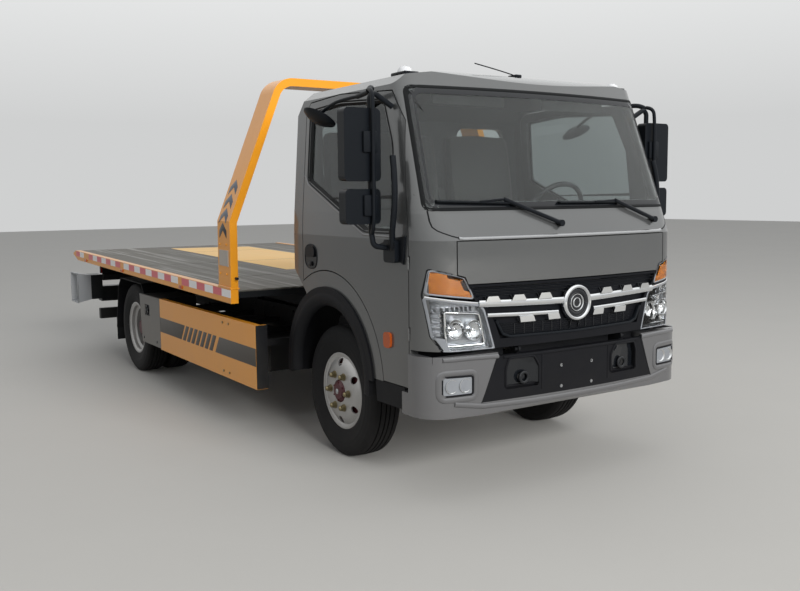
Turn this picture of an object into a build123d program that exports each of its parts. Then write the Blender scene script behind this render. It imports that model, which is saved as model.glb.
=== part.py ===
from build123d import *
from math import asin, atan2, cos, degrees, hypot, radians, sin, sqrt, tan
import os

# Light flatbed tow truck, cab over engine, in millimetres.
# Lengths along the truck are stations: X from the front axle, forward positive. Y is to the left
# and Z is the height over the ground. The last step moves every piece forward by MID_SHIFT,
# so that X = 0 lies at the middle of the overall length.

# Overall
WHEELBASE = 3308
FRONT_OVERHANG = 1105
OVERALL_L = 5995
MID_SHIFT = OVERALL_L / 2 - FRONT_OVERHANG
TAIL_X = FRONT_OVERHANG - OVERALL_L
SEAT_GAP = 0.3          # between pieces that are bolted together
RUN_GAP = 6             # between a panel and the panel that moves in it

# Wheels
TYRE_R = 384
TYRE_W = 200
RIM_R = 222
RIM_W = 152
RIM_LIP = 12
BEAD_R = 204
FRONT_WHEEL_Y = 712
REAR_OUTER_Y = 905
REAR_INNER_Y = 680
WHEEL_STUDS = 6
STUD_PCD = 222.25
VENT_HOLES = 8
VENT_PCD = 318
VENT_D = 44
SPINDLE_R = 26
SPINDLE_REACH = 60      # beyond the middle of the front wheel

# Ladder frame
RAIL_OUT_Y = 360
RAIL_W = 60
RAIL_T = 8
RAIL_TOP = 700
RAIL_H = 170
RAIL_FRONT = 1000
RAIL_REAR = -4612
HIGH_CROSS = (950, -700, -1450)     # cross members over the gearbox and the shaft
LOW_CROSS = (-2500, -3650)
REAR_BEAM_X = (-4660, -4600)
REAR_BEAM_H = 60
REAR_BEAM_Y = 915
OUTRIGGERS = (-760, -1250, -1750, -2240)
OUTRIGGER_Z = (560, 600)
REST_BLOCKS = (-1250, -2150, -3050)

# Axles and steering
KINGPIN_Y = 600
KINGPIN_R = 14
AXLE_BEAM = 70
KNUCKLE_CLEAR = 6
AXLE_TUBE_R = 62
AXLE_STUB_R = 40
AXLE_STUB_Y = 800
PINION_NOSE = 290
SPRING_Y = 345
SPRING_W = 60
SPRING_HALF = 560

# Bed: drawn level, then raked about the front axle's ground point, its tail a little higher
BED_RAKE = 1.0
BED_W = 2250
BED_FRONT = -829
BED_RAIL_TOP = 915
BED_RAIL_H = 90
BED_RAIL_W = 51
DECK_TOP = 909
DECK_T = 6
DECK_JOINT_X = -1196    # joint between the winch's plate and the load's plate
TAIL_NOSE = 95
RUNNER_TOP = 850
RUNNER_H = 84
RUNNER_W = 60
BEARER_H = 46
BEARER_PITCH = 560
ARCH_DEPTH = 200
ARCH_T = 50
ARCH_TOP = 2251
ARCH_KNEE = 1345
ARCH_LEAN = 21.3
ARCH_BEND = 150
PAD_GAP = 0.5

# Tilt frame
TILT_TOP = 760
TILT_H = 62
TILT_FRONT = -1100
TILT_PIVOT = (-4690, 800)
TILT_PIN_R = 20
TILT_BEAM_Y = 330
RAM_Y = 165
RAM_R = 38
RAM_ROD_R = 22
RAM_FOOT = (-1620, 545)
RAM_EYE = (-2640, 765)
RAM_PIN_R = 14
RAM_EYE_R = 34
RAM_EYE_PIN_R = 17.5
LUG_T = 10
SLIDE_RAM_R = 40
SLIDE_RAM_Z = 800
SLIDE_ROD_R = 24
SLIDE_LUG_X = -4370
DRUM_SHAFT_R = 20

# Side guards and lockers
GUARD_Y = 1084
GUARD_FRONT = -545
GUARD_REAR = -2360
GUARD_BOTTOM = 328
GUARD_TOP = 729
GUARD_T = 8
GUARD_FLANGE = 75
LOCKER_REAR_TOP = -2870
LOCKER_REAR_BOTTOM = -2830
LOCKER_DEPTH = 300
LOCKER_WALL = 12
LOCKER_DOOR_T = 15
MUD_LEG_Y = 540
UNDERRUN_X = -4520
UNDERRUN_TOP = 433
LAMP_Y = (545, 920)
LAMP_TOP = 858

# Cab
CAB_REAR = -385
CAB_HALF = 885
CAB_WALL = 45
SCREEN_T = 8
SILL = 555
FRONT_EDGE = 755        # lower edge of the front face
FRONT_CUT = 856         # the front face's pieces end here, ahead of the doors
CREASE_Z = 1290         # sharp bend under the windscreen
GLASS_Z = 1420          # foot of the windscreen
ROOF_EDGE_Z = 2250      # where the leaning walls are drawn to, above the roof
FLOOR_Z = 1010
FLOOR_T = 25
WELL_FLOOR_Z = 800
TUNNEL_Y = 330
TUNNEL_Z = 1125
ARCH_C = (20, 500)      # centre of the front wheel arch
FLARE_R = 500
FLARE_T = 45
SEAM_R = 595
GRILLE_DEPTH = 20
MIRROR_X = 670
MIRROR_TUBE_Y = 985
MIRROR_TUBE_R = 14
DOOR_FRONT = 847
DOOR_BOTTOM = 560
DOOR_REAR = -270
DOOR_HINGE = (850, 887)
DOOR_HINGE_Z = (800, 1150)
KNUCKLE_H = 30
KNUCKLE_R = 6
DOOR_PIN_R = 3
LID_HALF = 725
LID_T = 14
LID_STOP = (520, 1180)  # rubber stop on the firewall that carries the closed lid
LID_STOP_R = 12
FIREWALL_X = 965
CAB_HINGE = (1060, 735)
HINGE_LUG_R = 17
HINGE_PIN_R = 9
HINGE_T = 12

# Plan sections of the cab: height, front on the centreline, bow, half width, corner radius
CAB_SECTIONS = (
    (SILL, 1097, 78, CAB_HALF, 200),
    (CREASE_Z, 1090, 80, CAB_HALF, 190),
    (GLASS_Z, 1035, 90, 880, 140),
    (ROOF_EDGE_Z, 726, 78, 822, 110),
)

# Bumper
BUMPER_TOP = 735
BUMPER_BOTTOM = 430
BUMPER_HALF = 905
BUMPER_T = 30
CHIN_TOP = 492
INSERT_TOP = 716
PLATE_HOLE_Y = 105
PLATE_HOLE_Z = 630
PLATE_HOLE_R = 3.5
TOW_DEPTH = 22

# Wheel lift
LIFT_PIVOT = (-3900, 565)
LIFT_BOOM = 110
LIFT_BEAM_X = -4690
LIFT_BEAM = (120, 150)
LIFT_BEAM_Y = 930
LIFT_CLEAR = 0.5
CUP_BODY = 110
CUP_FLARE = 140
CUP_SIZE = (200, 240)
CUP_MOUTH = (260, 290)
CUP_WALL = 8
CUP_Z = 640

SIDES = ((-1, "right"), (1, "left"))


def span(x, y, z):
    """Block between two limits on each axis."""
    return Pos((x[0] + x[1]) / 2, (y[0] + y[1]) / 2, (z[0] + z[1]) / 2) * Box(
        abs(x[1] - x[0]), abs(y[1] - y[0]), abs(z[1] - z[0]))


def band(s, y0, y1):
    """Limits from y0 to y1 outward on side s."""
    return (min(s * y0, s * y1), max(s * y0, s * y1))


def across(x, z, radius, y0, y1):
    """Cylinder along Y."""
    return Pos(x, (y0 + y1) / 2, z) * Rot(90, 0, 0) * Cylinder(radius, abs(y1 - y0))


def along(x0, x1, y, z, radius):
    """Cylinder along X."""
    return Pos((x0 + x1) / 2, y, z) * Rot(0, 90, 0) * Cylinder(radius, abs(x1 - x0))


def side_plate(points, y0, y1):
    """Polygon in side view, X and Z, with its thickness across the truck."""
    face = make_face(Polyline(*[(x, 0, z) for x, z in points], close=True))
    low, high = min(y0, y1), max(y0, y1)
    return extrude(Pos(0, low, 0) * face, (high - low), dir=(0, 1, 0))


def front_plate(points, x0, x1):
    """Polygon in front view, Y and Z, with its thickness along the truck."""
    face = make_face(Polyline(*[(0, y, z) for y, z in points], close=True))
    low, high = min(x0, x1), max(x0, x1)
    return extrude(Pos(low, 0, 0) * face, (high - low), dir=(1, 0, 0))


def top_plate(points, z0, z1):
    """Polygon in plan view, X and Y."""
    face = make_face(Polyline(*[(x, y, 0) for x, y in points], close=True))
    return extrude(Pos(0, 0, z0) * face, (z1 - z0), dir=(0, 0, 1))


def mirrored(points):
    """Half outline in front view, given for positive Y, made whole."""
    return list(points) + [(-y, z) for y, z in reversed(points)]


def rod(a, b, radius):
    """Round bar from point a to point b."""
    start, end = Vector(*a), Vector(*b)
    direction = end - start
    plane = Plane(origin=start, z_dir=direction)
    return extrude(plane * Circle(radius), direction.length)


def rake(piece):
    """Turns a piece that was drawn level to the lie of the bed."""
    return Rot(0, BED_RAKE, 0) * piece


def raked_height(x, level):
    """Height over the ground, at station x, of a plane that was drawn level."""
    return level / cos(radians(BED_RAKE)) - x * tan(radians(BED_RAKE))


# Wheels

def revolve_across(profile):
    """Turns a profile, given as radius and Y, round the axle line."""
    face = make_face(Polyline(*[(0, y, r) for r, y in profile], close=True))
    return revolve(face, Axis((0, 0, 0), (0, 1, 0)), 360)


def tyre():
    half = TYRE_W / 2
    profile = (
        (RIM_R - 6, -half * 0.66), (RIM_R + 60, -half * 0.96), (RIM_R + 95, -half),
        (TYRE_R - 26, -half * 0.90), (TYRE_R - 4, -half * 0.72), (TYRE_R, 0),
        (TYRE_R - 4, half * 0.72), (TYRE_R - 26, half * 0.90), (RIM_R + 95, half),
        (RIM_R + 60, half * 0.96), (RIM_R - 6, half * 0.66), (BEAD_R + SEAT_GAP, half * 0.60),
        (BEAD_R + SEAT_GAP, -half * 0.60))
    return revolve_across(profile)


def rim(dish):
    """Rim whose disc lies at Y = dish, outboard negative, with the hub in its middle."""
    half = RIM_W / 2
    barrel = revolve_across((
        (RIM_R, -half), (RIM_R, -half + 6), (BEAD_R, -half + 14), (BEAD_R - 2, -half + 40),
        (BEAD_R - 26, -half + 52), (BEAD_R - 26, half - 52), (BEAD_R - 2, half - 40),
        (BEAD_R, half - 14), (RIM_R, half - 6), (RIM_R, half), (RIM_R - 8, half),
        (BEAD_R - 10, half - 10), (BEAD_R - 12, half - 34), (BEAD_R - 36, half - 46),
        (BEAD_R - 36, -half + 46), (BEAD_R - 12, -half + 34), (BEAD_R - 10, -half + 10),
        (RIM_R - 8, -half)))
    foot = BEAD_R - 30
    side = -1 if dish < 0 else 1
    disc = revolve_across((
        (60, dish), (130, dish), (142, dish - side * 6), (foot, side * 12),
        (foot, 0), (136, dish - side * 18), (60, dish - side * 12)))
    for k in range(VENT_HOLES):
        angle = 360 / VENT_HOLES * (k + 0.5)
        hole = Rot(0, angle, 0) * Pos(0, dish - side * 30, VENT_PCD / 2) * Rot(90, 0, 0)
        disc -= hole * Cylinder(VENT_D / 2, 90)
    return barrel + disc


def front_hub(s):
    """Hub through the disc, with its studs, drawn for side s about the wheel's centre."""
    hub = across(0, 0, 78, s * 30, s * 96) + across(0, 0, 60, -s * 34, s * 128)
    hub += across(0, 0, 44, s * 128, s * 140)
    hub -= across(0, 0, SPINDLE_R + 0.3, -s * 40, s * (SPINDLE_REACH + 1))
    return hub + studs(s, 60, 118)


def studs(s, y0, y1):
    group = None
    for k in range(WHEEL_STUDS):
        nut = Rot(0, 360 / WHEEL_STUDS * k, 0) * Pos(0, 0, STUD_PCD / 2) * across(0, 0, 15, s * y0, s * y1)
        group = nut if group is None else group + nut
    return group


def front_wheel(s):
    centre = Pos(0, s * FRONT_WHEEL_Y, TYRE_R)
    metal = rim(s * 70) + front_hub(s)
    return centre * tyre(), centre * metal


def rear_wheel(s):
    outer = Pos(-WHEELBASE, s * REAR_OUTER_Y, TYRE_R)
    inner = Pos(-WHEELBASE, s * REAR_INNER_Y, TYRE_R)
    spacing = (REAR_OUTER_Y - REAR_INNER_Y) / 2
    metal = outer * rim(-s * (spacing - 6)) + inner * rim(s * (spacing - 6))
    metal += outer * (across(0, 0, 150, -s * (spacing + 4), -s * (spacing - 12))
                      + across(0, 0, 72, -s * (spacing + 70), s * 30)
                      + studs(s, -spacing, -spacing + 60))
    metal -= across(-WHEELBASE, TYRE_R, AXLE_STUB_R + SEAT_GAP, s * (REAR_INNER_Y - 50), s * (AXLE_STUB_Y + 1))
    return Compound(children=[outer * tyre(), inner * tyre()]), metal


# Running gear

def knuckle(s):
    """Stub axle with its kingpin eyes over and under the beam's end, brake backplate and arm."""
    y = s * KINGPIN_Y
    eye_r = 38
    boss = 35
    back = KINGPIN_Y + eye_r + KNUCKLE_CLEAR
    piece = span((-35, 35), band(s, back, back + 34), (TYRE_R - 95, TYRE_R + 95))
    for z in (TYRE_R + boss + KNUCKLE_CLEAR, TYRE_R - boss - KNUCKLE_CLEAR - 50):
        piece += Pos(0, y, z + 25) * Cylinder(eye_r, 50)
        piece += span((-30, 30), band(s, KINGPIN_Y, back + 10), (z, z + 50))
    piece -= Pos(0, y, TYRE_R) * Cylinder(KINGPIN_R + 0.3, 300)
    piece += across(0, TYRE_R, SPINDLE_R, s * (back + 20), s * (FRONT_WHEEL_Y + SPINDLE_REACH))
    piece += across(0, TYRE_R, 130, s * (back + 16), s * (back + 24))
    arm_z = TYRE_R - boss - KNUCKLE_CLEAR - 40
    return piece + span((-190, -20), band(s, KINGPIN_Y - 4, KINGPIN_Y + 22), (arm_z, arm_z + 20)) - Pos(
        0, y, TYRE_R) * Cylinder(KINGPIN_R + 0.3, 300)


def front_axle():
    """I-beam that dips between the springs, with a boss and a kingpin at each end."""
    half = AXLE_BEAM / 2
    top, low, seat, belly = TYRE_R + 35, TYRE_R - 35, TYRE_R - 40, TYRE_R - 110
    side = [(KINGPIN_Y, low), (KINGPIN_Y, top), (KINGPIN_Y - 70, top), (SPRING_Y + 60, seat)]
    under = [(-KINGPIN_Y, low), (-KINGPIN_Y + 60, low), (-SPRING_Y - 40, belly), (SPRING_Y + 40, belly),
             (KINGPIN_Y - 60, low)]
    beam = front_plate(side + [(-y, z) for y, z in reversed(side)][:-1] + under, -half, half)
    for s, _ in SIDES:
        beam += Pos(0, s * KINGPIN_Y, TYRE_R) * Cylinder(half, top - low)
        beam += Pos(0, s * KINGPIN_Y, TYRE_R) * Cylinder(KINGPIN_R, 190)
    return beam


def rear_axle():
    """Banjo housing with the final drive in its middle."""
    piece = across(-WHEELBASE, TYRE_R, AXLE_TUBE_R, -REAR_INNER_Y + 40, REAR_INNER_Y - 40)
    piece += Pos(-WHEELBASE, 0, TYRE_R) * Sphere(165)
    piece += along(-WHEELBASE, -WHEELBASE + PINION_NOSE, 0, TYRE_R, 70)
    for s, _ in SIDES:
        piece += across(-WHEELBASE, TYRE_R, 150, s * 470, s * 490)
        piece += across(-WHEELBASE, TYRE_R, AXLE_STUB_R, s * (REAR_INNER_Y - 50), s * AXLE_STUB_Y)
    return piece


def leaf_springs():
    """Packs of flat leaves, hung from the frame by eyes, front and rear."""
    packs = []
    for station, half, seat in ((0, SPRING_HALF, TYRE_R - 40), (-WHEELBASE, 640, TYRE_R + AXLE_TUBE_R)):
        for s, _ in SIDES:
            pack = span((station - half, station + half), band(s, SPRING_Y - SPRING_W / 2, SPRING_Y + SPRING_W / 2),
                        (seat + 40, seat + 52))
            for k in range(3):
                reach = half * (0.28 + 0.24 * k)
                pack += span((station - reach, station + reach),
                             band(s, SPRING_Y - SPRING_W / 2, SPRING_Y + SPRING_W / 2),
                             (seat + 4 + 12 * k, seat + 16 + 12 * k))
            pack += span((station - 60, station + 60), band(s, SPRING_Y - SPRING_W / 2, SPRING_Y + SPRING_W / 2),
                         (seat + 0.3, seat + 5))
            for end in (-1, 1):
                x = station + end * (half - 20)
                pack += span((x - 20, x + 20), band(s, SPRING_Y - 18, SPRING_Y + 18),
                             (seat + 40, RAIL_TOP - RAIL_H - SEAT_GAP))
            packs.append(pack)
    return Compound(children=packs)


def frame_rails():
    """Two channel rails."""
    rails = []
    for s, _ in SIDES:
        rail = span((RAIL_REAR, RAIL_FRONT), band(s, RAIL_OUT_Y - RAIL_W, RAIL_OUT_Y), (RAIL_TOP - RAIL_H, RAIL_TOP))
        rail -= span((RAIL_REAR - 1, RAIL_FRONT + 1), band(s, RAIL_OUT_Y - RAIL_W - 1, RAIL_OUT_Y - RAIL_T),
                     (RAIL_TOP - RAIL_H + RAIL_T, RAIL_TOP - RAIL_T))
        for x in REST_BLOCKS:
            top = raked_height(x + 30, TILT_TOP - TILT_H) - SEAT_GAP
            rail += span((x - 30, x + 30), band(s, RAIL_OUT_Y - RAIL_W, RAIL_OUT_Y), (RAIL_TOP - 1, top))
        rails.append(rail)
    return Compound(children=rails)


def frame_members():
    """Cross members between the rails, outriggers on their outer sides and the brackets of the rams."""
    inner = RAIL_OUT_Y - RAIL_T - SEAT_GAP
    low, high = RAIL_TOP - RAIL_H, RAIL_TOP
    pieces = []
    for x in HIGH_CROSS:
        pieces.append(span((x - 35, x + 35), (-inner, inner), (high - 85, high - 15)))
    for x in LOW_CROSS:
        pieces.append(span((x - 35, x + 35), (-inner, inner), (low + 10, low + 80)))
    for s, _ in SIDES:
        for x in OUTRIGGERS:
            pieces.append(span((x - 25, x + 25), band(s, RAIL_OUT_Y + SEAT_GAP, GUARD_Y - GUARD_T - SEAT_GAP),
                               OUTRIGGER_Z))
        x, z = RAM_FOOT
        foot = span((x - 40, x + 40), band(s, RAM_Y + RAM_R + 8, inner), (low + RAIL_T + 2, low + 64))
        pieces.append(foot + across(x, z, RAM_PIN_R, s * (RAM_Y - 30), s * (RAM_Y + RAM_R + 20)))
        pieces.append(cab_hinge_bracket(s))
        x, z = -WHEELBASE, RAIL_TOP - 35
        pieces.append(span((x - 25, x + 25), band(s, RAIL_OUT_Y + SEAT_GAP, MUD_LEG_Y - SEAT_GAP), (z - 25, z + 25)))
    return Compound(children=pieces)


def frame_tail():
    """Beam over the rails' rear ends, with the ears of the tilt pivot and the lamps' carriers."""
    top = RAIL_TOP + SEAT_GAP + REAR_BEAM_H
    beam = span(REAR_BEAM_X, (-REAR_BEAM_Y, REAR_BEAM_Y), (RAIL_TOP + SEAT_GAP, top))
    px, pz = TILT_PIVOT
    rear, front = REAR_BEAM_X
    for s, _ in SIDES:
        ear = side_plate(((front + 110, RAIL_TOP - 120), (front + 110, RAIL_TOP), (px + 42, pz + 40), (px + 20, pz + 48),
                          (px - 25, pz + 48), (px - 42, pz + 25), (px - 42, pz - 40), (rear, RAIL_TOP - 45),
                          (RAIL_REAR - 4, RAIL_TOP - 45), (RAIL_REAR - 4, RAIL_TOP - 120)),
                         s * (RAIL_OUT_Y + RUN_GAP), s * (RAIL_OUT_Y + 26))
        beam += ear
        beam += across(px, pz, TILT_PIN_R, s * (TILT_BEAM_Y - 36), s * (RAIL_OUT_Y + 30))
        beam += span((RAIL_REAR, front + 110), band(s, RAIL_OUT_Y + SEAT_GAP, RAIL_OUT_Y + 10),
                     (RAIL_TOP - 120, RAIL_TOP - 20))
        # Carrier of the underrun bar
        x = UNDERRUN_X
        beam += span((x - 25, x + 25), band(s, RAIL_OUT_Y + 9, RAIL_OUT_Y + 26), (UNDERRUN_TOP + 4, RAIL_TOP - 100))
        beam += span((rear, rear + 8), band(s, LAMP_Y[0] + 10, LAMP_Y[1] - 10), (top - 1, LAMP_TOP - 6))
    return beam


def cab_hinge_bracket(s):
    """Plate on the rail's outer side that carries the cab's pin."""
    x, z = CAB_HINGE
    y0 = RAIL_OUT_Y + SEAT_GAP
    plate = side_plate(((930, RAIL_TOP - 45), (930, RAIL_TOP - 2), (x - 15, z + 13), (x, z + HINGE_LUG_R),
                        (x, z - HINGE_LUG_R), (x - 20, RAIL_TOP - 45)), s * y0, s * (y0 + HINGE_T))
    plate += across(x, z, HINGE_LUG_R, s * y0, s * (y0 + HINGE_T))
    return plate + across(x, z, HINGE_PIN_R, s * y0, s * (y0 + 2 * HINGE_T + 4))


def cab_hinge_lug(s):
    """Lug under the cab's floor that turns on the bracket's pin."""
    x, z = CAB_HINGE
    y0 = RAIL_OUT_Y + 2 * SEAT_GAP + HINGE_T
    lug = side_plate(((x - 60, WELL_FLOOR_Z - 10), (x - 30, WELL_FLOOR_Z - 10), (x - 30, z + HINGE_LUG_R),
                      (x, z + HINGE_LUG_R), (x, z - HINGE_LUG_R), (x - 20, z - HINGE_LUG_R), (x - 60, z + 20)),
                     s * y0, s * (y0 + HINGE_T))
    lug += across(x, z, HINGE_LUG_R, s * y0, s * (y0 + HINGE_T))
    return lug - across(x, z, HINGE_PIN_R + SEAT_GAP, s * (y0 - 1), s * (y0 + HINGE_T + 1))


def lift_ears():
    """Brackets inside the rails, with the pin of the lift boom."""
    x, z = LIFT_PIVOT
    inner = RAIL_OUT_Y - RAIL_T - SEAT_GAP
    piece = span((x - 50, x + 50), (-inner, inner), (z + LIFT_BOOM / 2 + 12, z + LIFT_BOOM / 2 + 32))
    for s, _ in SIDES:
        piece += span((x - 40, x + 40), band(s, 68, 84), (z - 45, z + LIFT_BOOM / 2 + 20))
    return piece + across(x, z, 16, -88, 88)


def engine_block():
    return span((-100, 780), (-265, 265), (430, 1050))


def driveline():
    """Gearbox behind the engine and the propeller shaft to the rear axle."""
    box = span((-560, -100 - SEAT_GAP), (-150, 150), (440, 690))
    nose = -WHEELBASE + PINION_NOSE
    shaft = rod((-560, 0, 560), (nose + 12, 0, TYRE_R), 38)
    return box + shaft + along(nose + SEAT_GAP, nose + 16, 0, TYRE_R, 55)


def fuel_tank():
    tank = span((-1700, -870), (430, 960), (365, OUTRIGGER_Z[0] - SEAT_GAP))
    return fillet(tank.edges().filter_by(Axis.X), 50)


def battery_box():
    """Battery case and air tank on the right, under the outriggers."""
    case = span((-1330, -950), (-800, -430), (345, OUTRIGGER_Z[0] - SEAT_GAP))
    tank = along(-2150, -1450, -520, OUTRIGGER_Z[0] - SEAT_GAP - 95, 95)
    return Compound(children=[case, tank])


# Bed

def bed_rails():
    """Side rails with bevelled tails."""
    tail = bed_tail()
    half = BED_W / 2
    low = BED_RAIL_TOP - BED_RAIL_H
    side = ((BED_FRONT, low), (BED_FRONT, BED_RAIL_TOP), (tail + TAIL_NOSE, BED_RAIL_TOP),
            (tail, BED_RAIL_TOP - 28), (tail, BED_RAIL_TOP - 42), (tail + 170, low))
    return Compound(children=[side_plate(side, s * (half - BED_RAIL_W), s * half) for s, _ in SIDES])


def bed_arch():
    """Bent box section that rises from the rails and crosses behind the cab."""
    half = BED_W / 2 - 2
    lean = tan(radians(ARCH_LEAN))
    top_y = half - (ARCH_TOP - ARCH_KNEE) * lean
    with_bend = []
    for inset in (0, ARCH_T):
        y_low = half - inset
        shift = inset / cos(radians(ARCH_LEAN))
        knee_z = ARCH_KNEE - inset * tan(radians(ARCH_LEAN / 2))
        z_top = ARCH_TOP - inset
        y_top = half - (z_top - ARCH_KNEE) * lean - shift
        foot = BED_RAIL_TOP + SEAT_GAP
        line = Polyline((0, y_low, foot), (0, y_low, knee_z), (0, y_top, z_top),
                        (0, -y_top, z_top), (0, -y_low, knee_z), (0, -y_low, foot), close=True)
        face = make_face(line)
        face = fillet(face.vertices().group_by(Axis.Z)[-1], ARCH_BEND - inset)
        with_bend.append(face)
    profile = with_bend[0] - with_bend[1]
    return extrude(Pos(BED_FRONT - ARCH_DEPTH, 0, 0) * profile, ARCH_DEPTH, dir=(1, 0, 0))


def bed_tail():
    """Station of the tail in the level drawing, so that the raked tail ends the truck's length."""
    a = radians(BED_RAKE)
    return (TAIL_X - (BED_RAIL_TOP - 42) * sin(a)) / cos(a)


def bed_deck():
    """Deck plate on cross bearers and two runners, with the slide ram's rod under it."""
    tail = bed_tail()
    inner = BED_W / 2 - BED_RAIL_W - SEAT_GAP
    deck = span((tail + 30, BED_FRONT), (-inner, inner), (DECK_TOP - DECK_T, DECK_TOP))
    x = DECK_JOINT_X
    deck -= span((x - 2, x + 2), (-inner - 1, inner + 1), (DECK_TOP - 1, DECK_TOP + 1))
    x = BED_FRONT - 40
    while x > tail + 200:
        deck += span((x - 25, x + 25), (-inner, inner), (DECK_TOP - DECK_T - BEARER_H, DECK_TOP - DECK_T))
        x -= BEARER_PITCH
    low = DECK_TOP - DECK_T - BEARER_H
    for s, _ in SIDES:
        deck += span((tail + 260, BED_FRONT - 15), band(s, TILT_BEAM_Y - RUNNER_W / 2, TILT_BEAM_Y + RUNNER_W / 2),
                     (RUNNER_TOP - RUNNER_H, low + 1))
    x = SLIDE_LUG_X
    deck += span((x - 20, x + 20), (-60, 60), (SLIDE_RAM_Z - 34, DECK_TOP - 1))
    return deck + along(x + 10, -1300, 0, SLIDE_RAM_Z, SLIDE_ROD_R)


def tilt_frame():
    """Two box beams with cross tubes, hinged at the rear, the slide ram's barrel and the tilt rams' lugs."""
    rear = TILT_PIVOT[0] - 40
    low = TILT_TOP - TILT_H
    pad = RUNNER_TOP - RUNNER_H - PAD_GAP
    frame = None
    for s, _ in SIDES:
        beam = span((rear, TILT_FRONT), band(s, TILT_BEAM_Y - 30, TILT_BEAM_Y + 30), (low, TILT_TOP))
        for x in (rear, TILT_FRONT - 400):
            beam += span((x, x + 400), band(s, TILT_BEAM_Y - 30, TILT_BEAM_Y + 30), (TILT_TOP - 1, pad))
        frame = beam if frame is None else frame + beam
    for x in (TILT_FRONT - 60, -2000, RAM_EYE[0] - 145, -3400, -4200):
        frame += span((x - 30, x + 30), (-TILT_BEAM_Y, TILT_BEAM_Y), (low + 2, low + 40))
    for x in (TILT_FRONT - 60, -2000, -3400, -4200):
        frame += span((x - 20, x + 20), (-30, 30), (low + 38, SLIDE_RAM_Z - SLIDE_ROD_R - 8))
    frame += along(-4260, -1100, 0, SLIDE_RAM_Z, SLIDE_RAM_R)
    frame -= along(-4300, -1150, 0, SLIDE_RAM_Z, SLIDE_ROD_R + 3)
    frame = rake(frame)
    x, z = RAM_EYE
    for s, _ in SIDES:
        for y in (RAM_Y - 28 - LUG_T, RAM_Y + 28):
            frame += span((x - 150, x + 26), band(s, y, y + LUG_T), (z - 26, z + 30))
        for y in (RAM_Y - 32 - LUG_T, RAM_Y + 28):
            frame += across(x, z, RAM_EYE_PIN_R, s * y, s * (y + LUG_T + 4))
        frame -= across(*TILT_PIVOT, TILT_PIN_R + 0.3, s * (TILT_BEAM_Y - 60), s * (TILT_BEAM_Y + 60))
    return frame


def ram_direction():
    return Vector(RAM_EYE[0] - RAM_FOOT[0], 0, RAM_EYE[1] - RAM_FOOT[1]).normalized()


def ram_point(distance, y):
    d = ram_direction()
    return (RAM_FOOT[0] + d.X * distance, y, RAM_FOOT[1] + d.Z * distance)


def ram_length():
    return hypot(RAM_EYE[0] - RAM_FOOT[0], RAM_EYE[1] - RAM_FOOT[1])


def tilt_barrels():
    """Barrels of the tilt rams, hinged at their feet between the rails."""
    pieces = []
    for s, _ in SIDES:
        y = s * RAM_Y
        barrel = across(*RAM_FOOT, RAM_EYE_R, y - 26, y + 26)
        barrel += rod(ram_point(20, y), ram_point(ram_length() - 150, y), RAM_R)
        barrel -= across(*RAM_FOOT, RAM_PIN_R + 0.3, y - 50, y + 50)
        pieces.append(barrel - rod(ram_point(60, y), ram_point(ram_length() - 140, y), RAM_ROD_R + 0.3))
    return Compound(children=pieces)


def tilt_rods():
    """Rods of the tilt rams. Each eye holds the middle of its pin, whose ends are in the tilt frame's lugs."""
    pieces = []
    for s, _ in SIDES:
        y = s * RAM_Y
        bar = rod(ram_point(90, y), ram_point(ram_length() - 10, y), RAM_ROD_R)
        eye = across(*RAM_EYE, RAM_EYE_R, y - 24, y + 24)
        pieces.append(bar + eye + across(*RAM_EYE, RAM_EYE_PIN_R, y - 27, y + 27))
    return Compound(children=pieces)


def winch():
    """Winch cradle on the deck, with its motor and gear cases at the drum's ends."""
    x, z = BED_FRONT - 190, DECK_TOP + SEAT_GAP
    cradle = span((x - 150, x + 150), (-300, 300), (z, z + 12))
    for s, _ in SIDES:
        cradle += span((x - 110, x + 110), band(s, 190, 206), (z, z + 190))
        cradle += across(x, z + 105, 72, s * 206, s * 290)
    return cradle - across(x, z + 105, DRUM_SHAFT_R + SEAT_GAP, -207, 207)


def winch_drum():
    """Rope drum with its wound rope."""
    x, z = BED_FRONT - 190, DECK_TOP + SEAT_GAP + 105
    drum = across(x, z, 55, -184, 184)
    for s, _ in SIDES:
        drum += across(x, z, 88, s * 170, s * 182)
    return drum + across(x, z, 72, -168, 168) + across(x, z, DRUM_SHAFT_R, -205, 205)


# Body fittings

def rear_mudguards():
    guards = []
    x = -WHEELBASE
    outline = ((x + 370, 640), (x + 250, 790), (x - 350, 800), (x - 440, 715), (x - 545, 325))
    inner = ((x + 363, 634), (x + 247, 784), (x - 347, 794), (x - 434, 712), (x - 539, 325))
    for s, _ in SIDES:
        skin = side_plate(list(outline) + list(reversed(inner)), s * 575, s * 1010)
        skin += span((x - 25, x + 25), band(s, MUD_LEG_Y, 580), (786, 793))
        guards.append(skin + span((x - 25, x + 25), band(s, MUD_LEG_Y, MUD_LEG_Y + 8), (640, 793)))
    return Compound(children=guards)


def side_guards():
    guards = []
    for s, _ in SIDES:
        plate = span((GUARD_REAR, GUARD_FRONT), band(s, GUARD_Y - GUARD_T, GUARD_Y), (GUARD_BOTTOM, GUARD_TOP))
        plate += span((GUARD_FRONT - 8, GUARD_FRONT), band(s, GUARD_Y - GUARD_FLANGE, GUARD_Y), (GUARD_BOTTOM, GUARD_TOP))
        for z in (GUARD_BOTTOM, GUARD_TOP - GUARD_T):
            plate += span((GUARD_REAR, GUARD_FRONT), band(s, GUARD_Y - 40, GUARD_Y), (z, z + GUARD_T))
        guards.append(plate)
    return Compound(children=guards)


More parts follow.
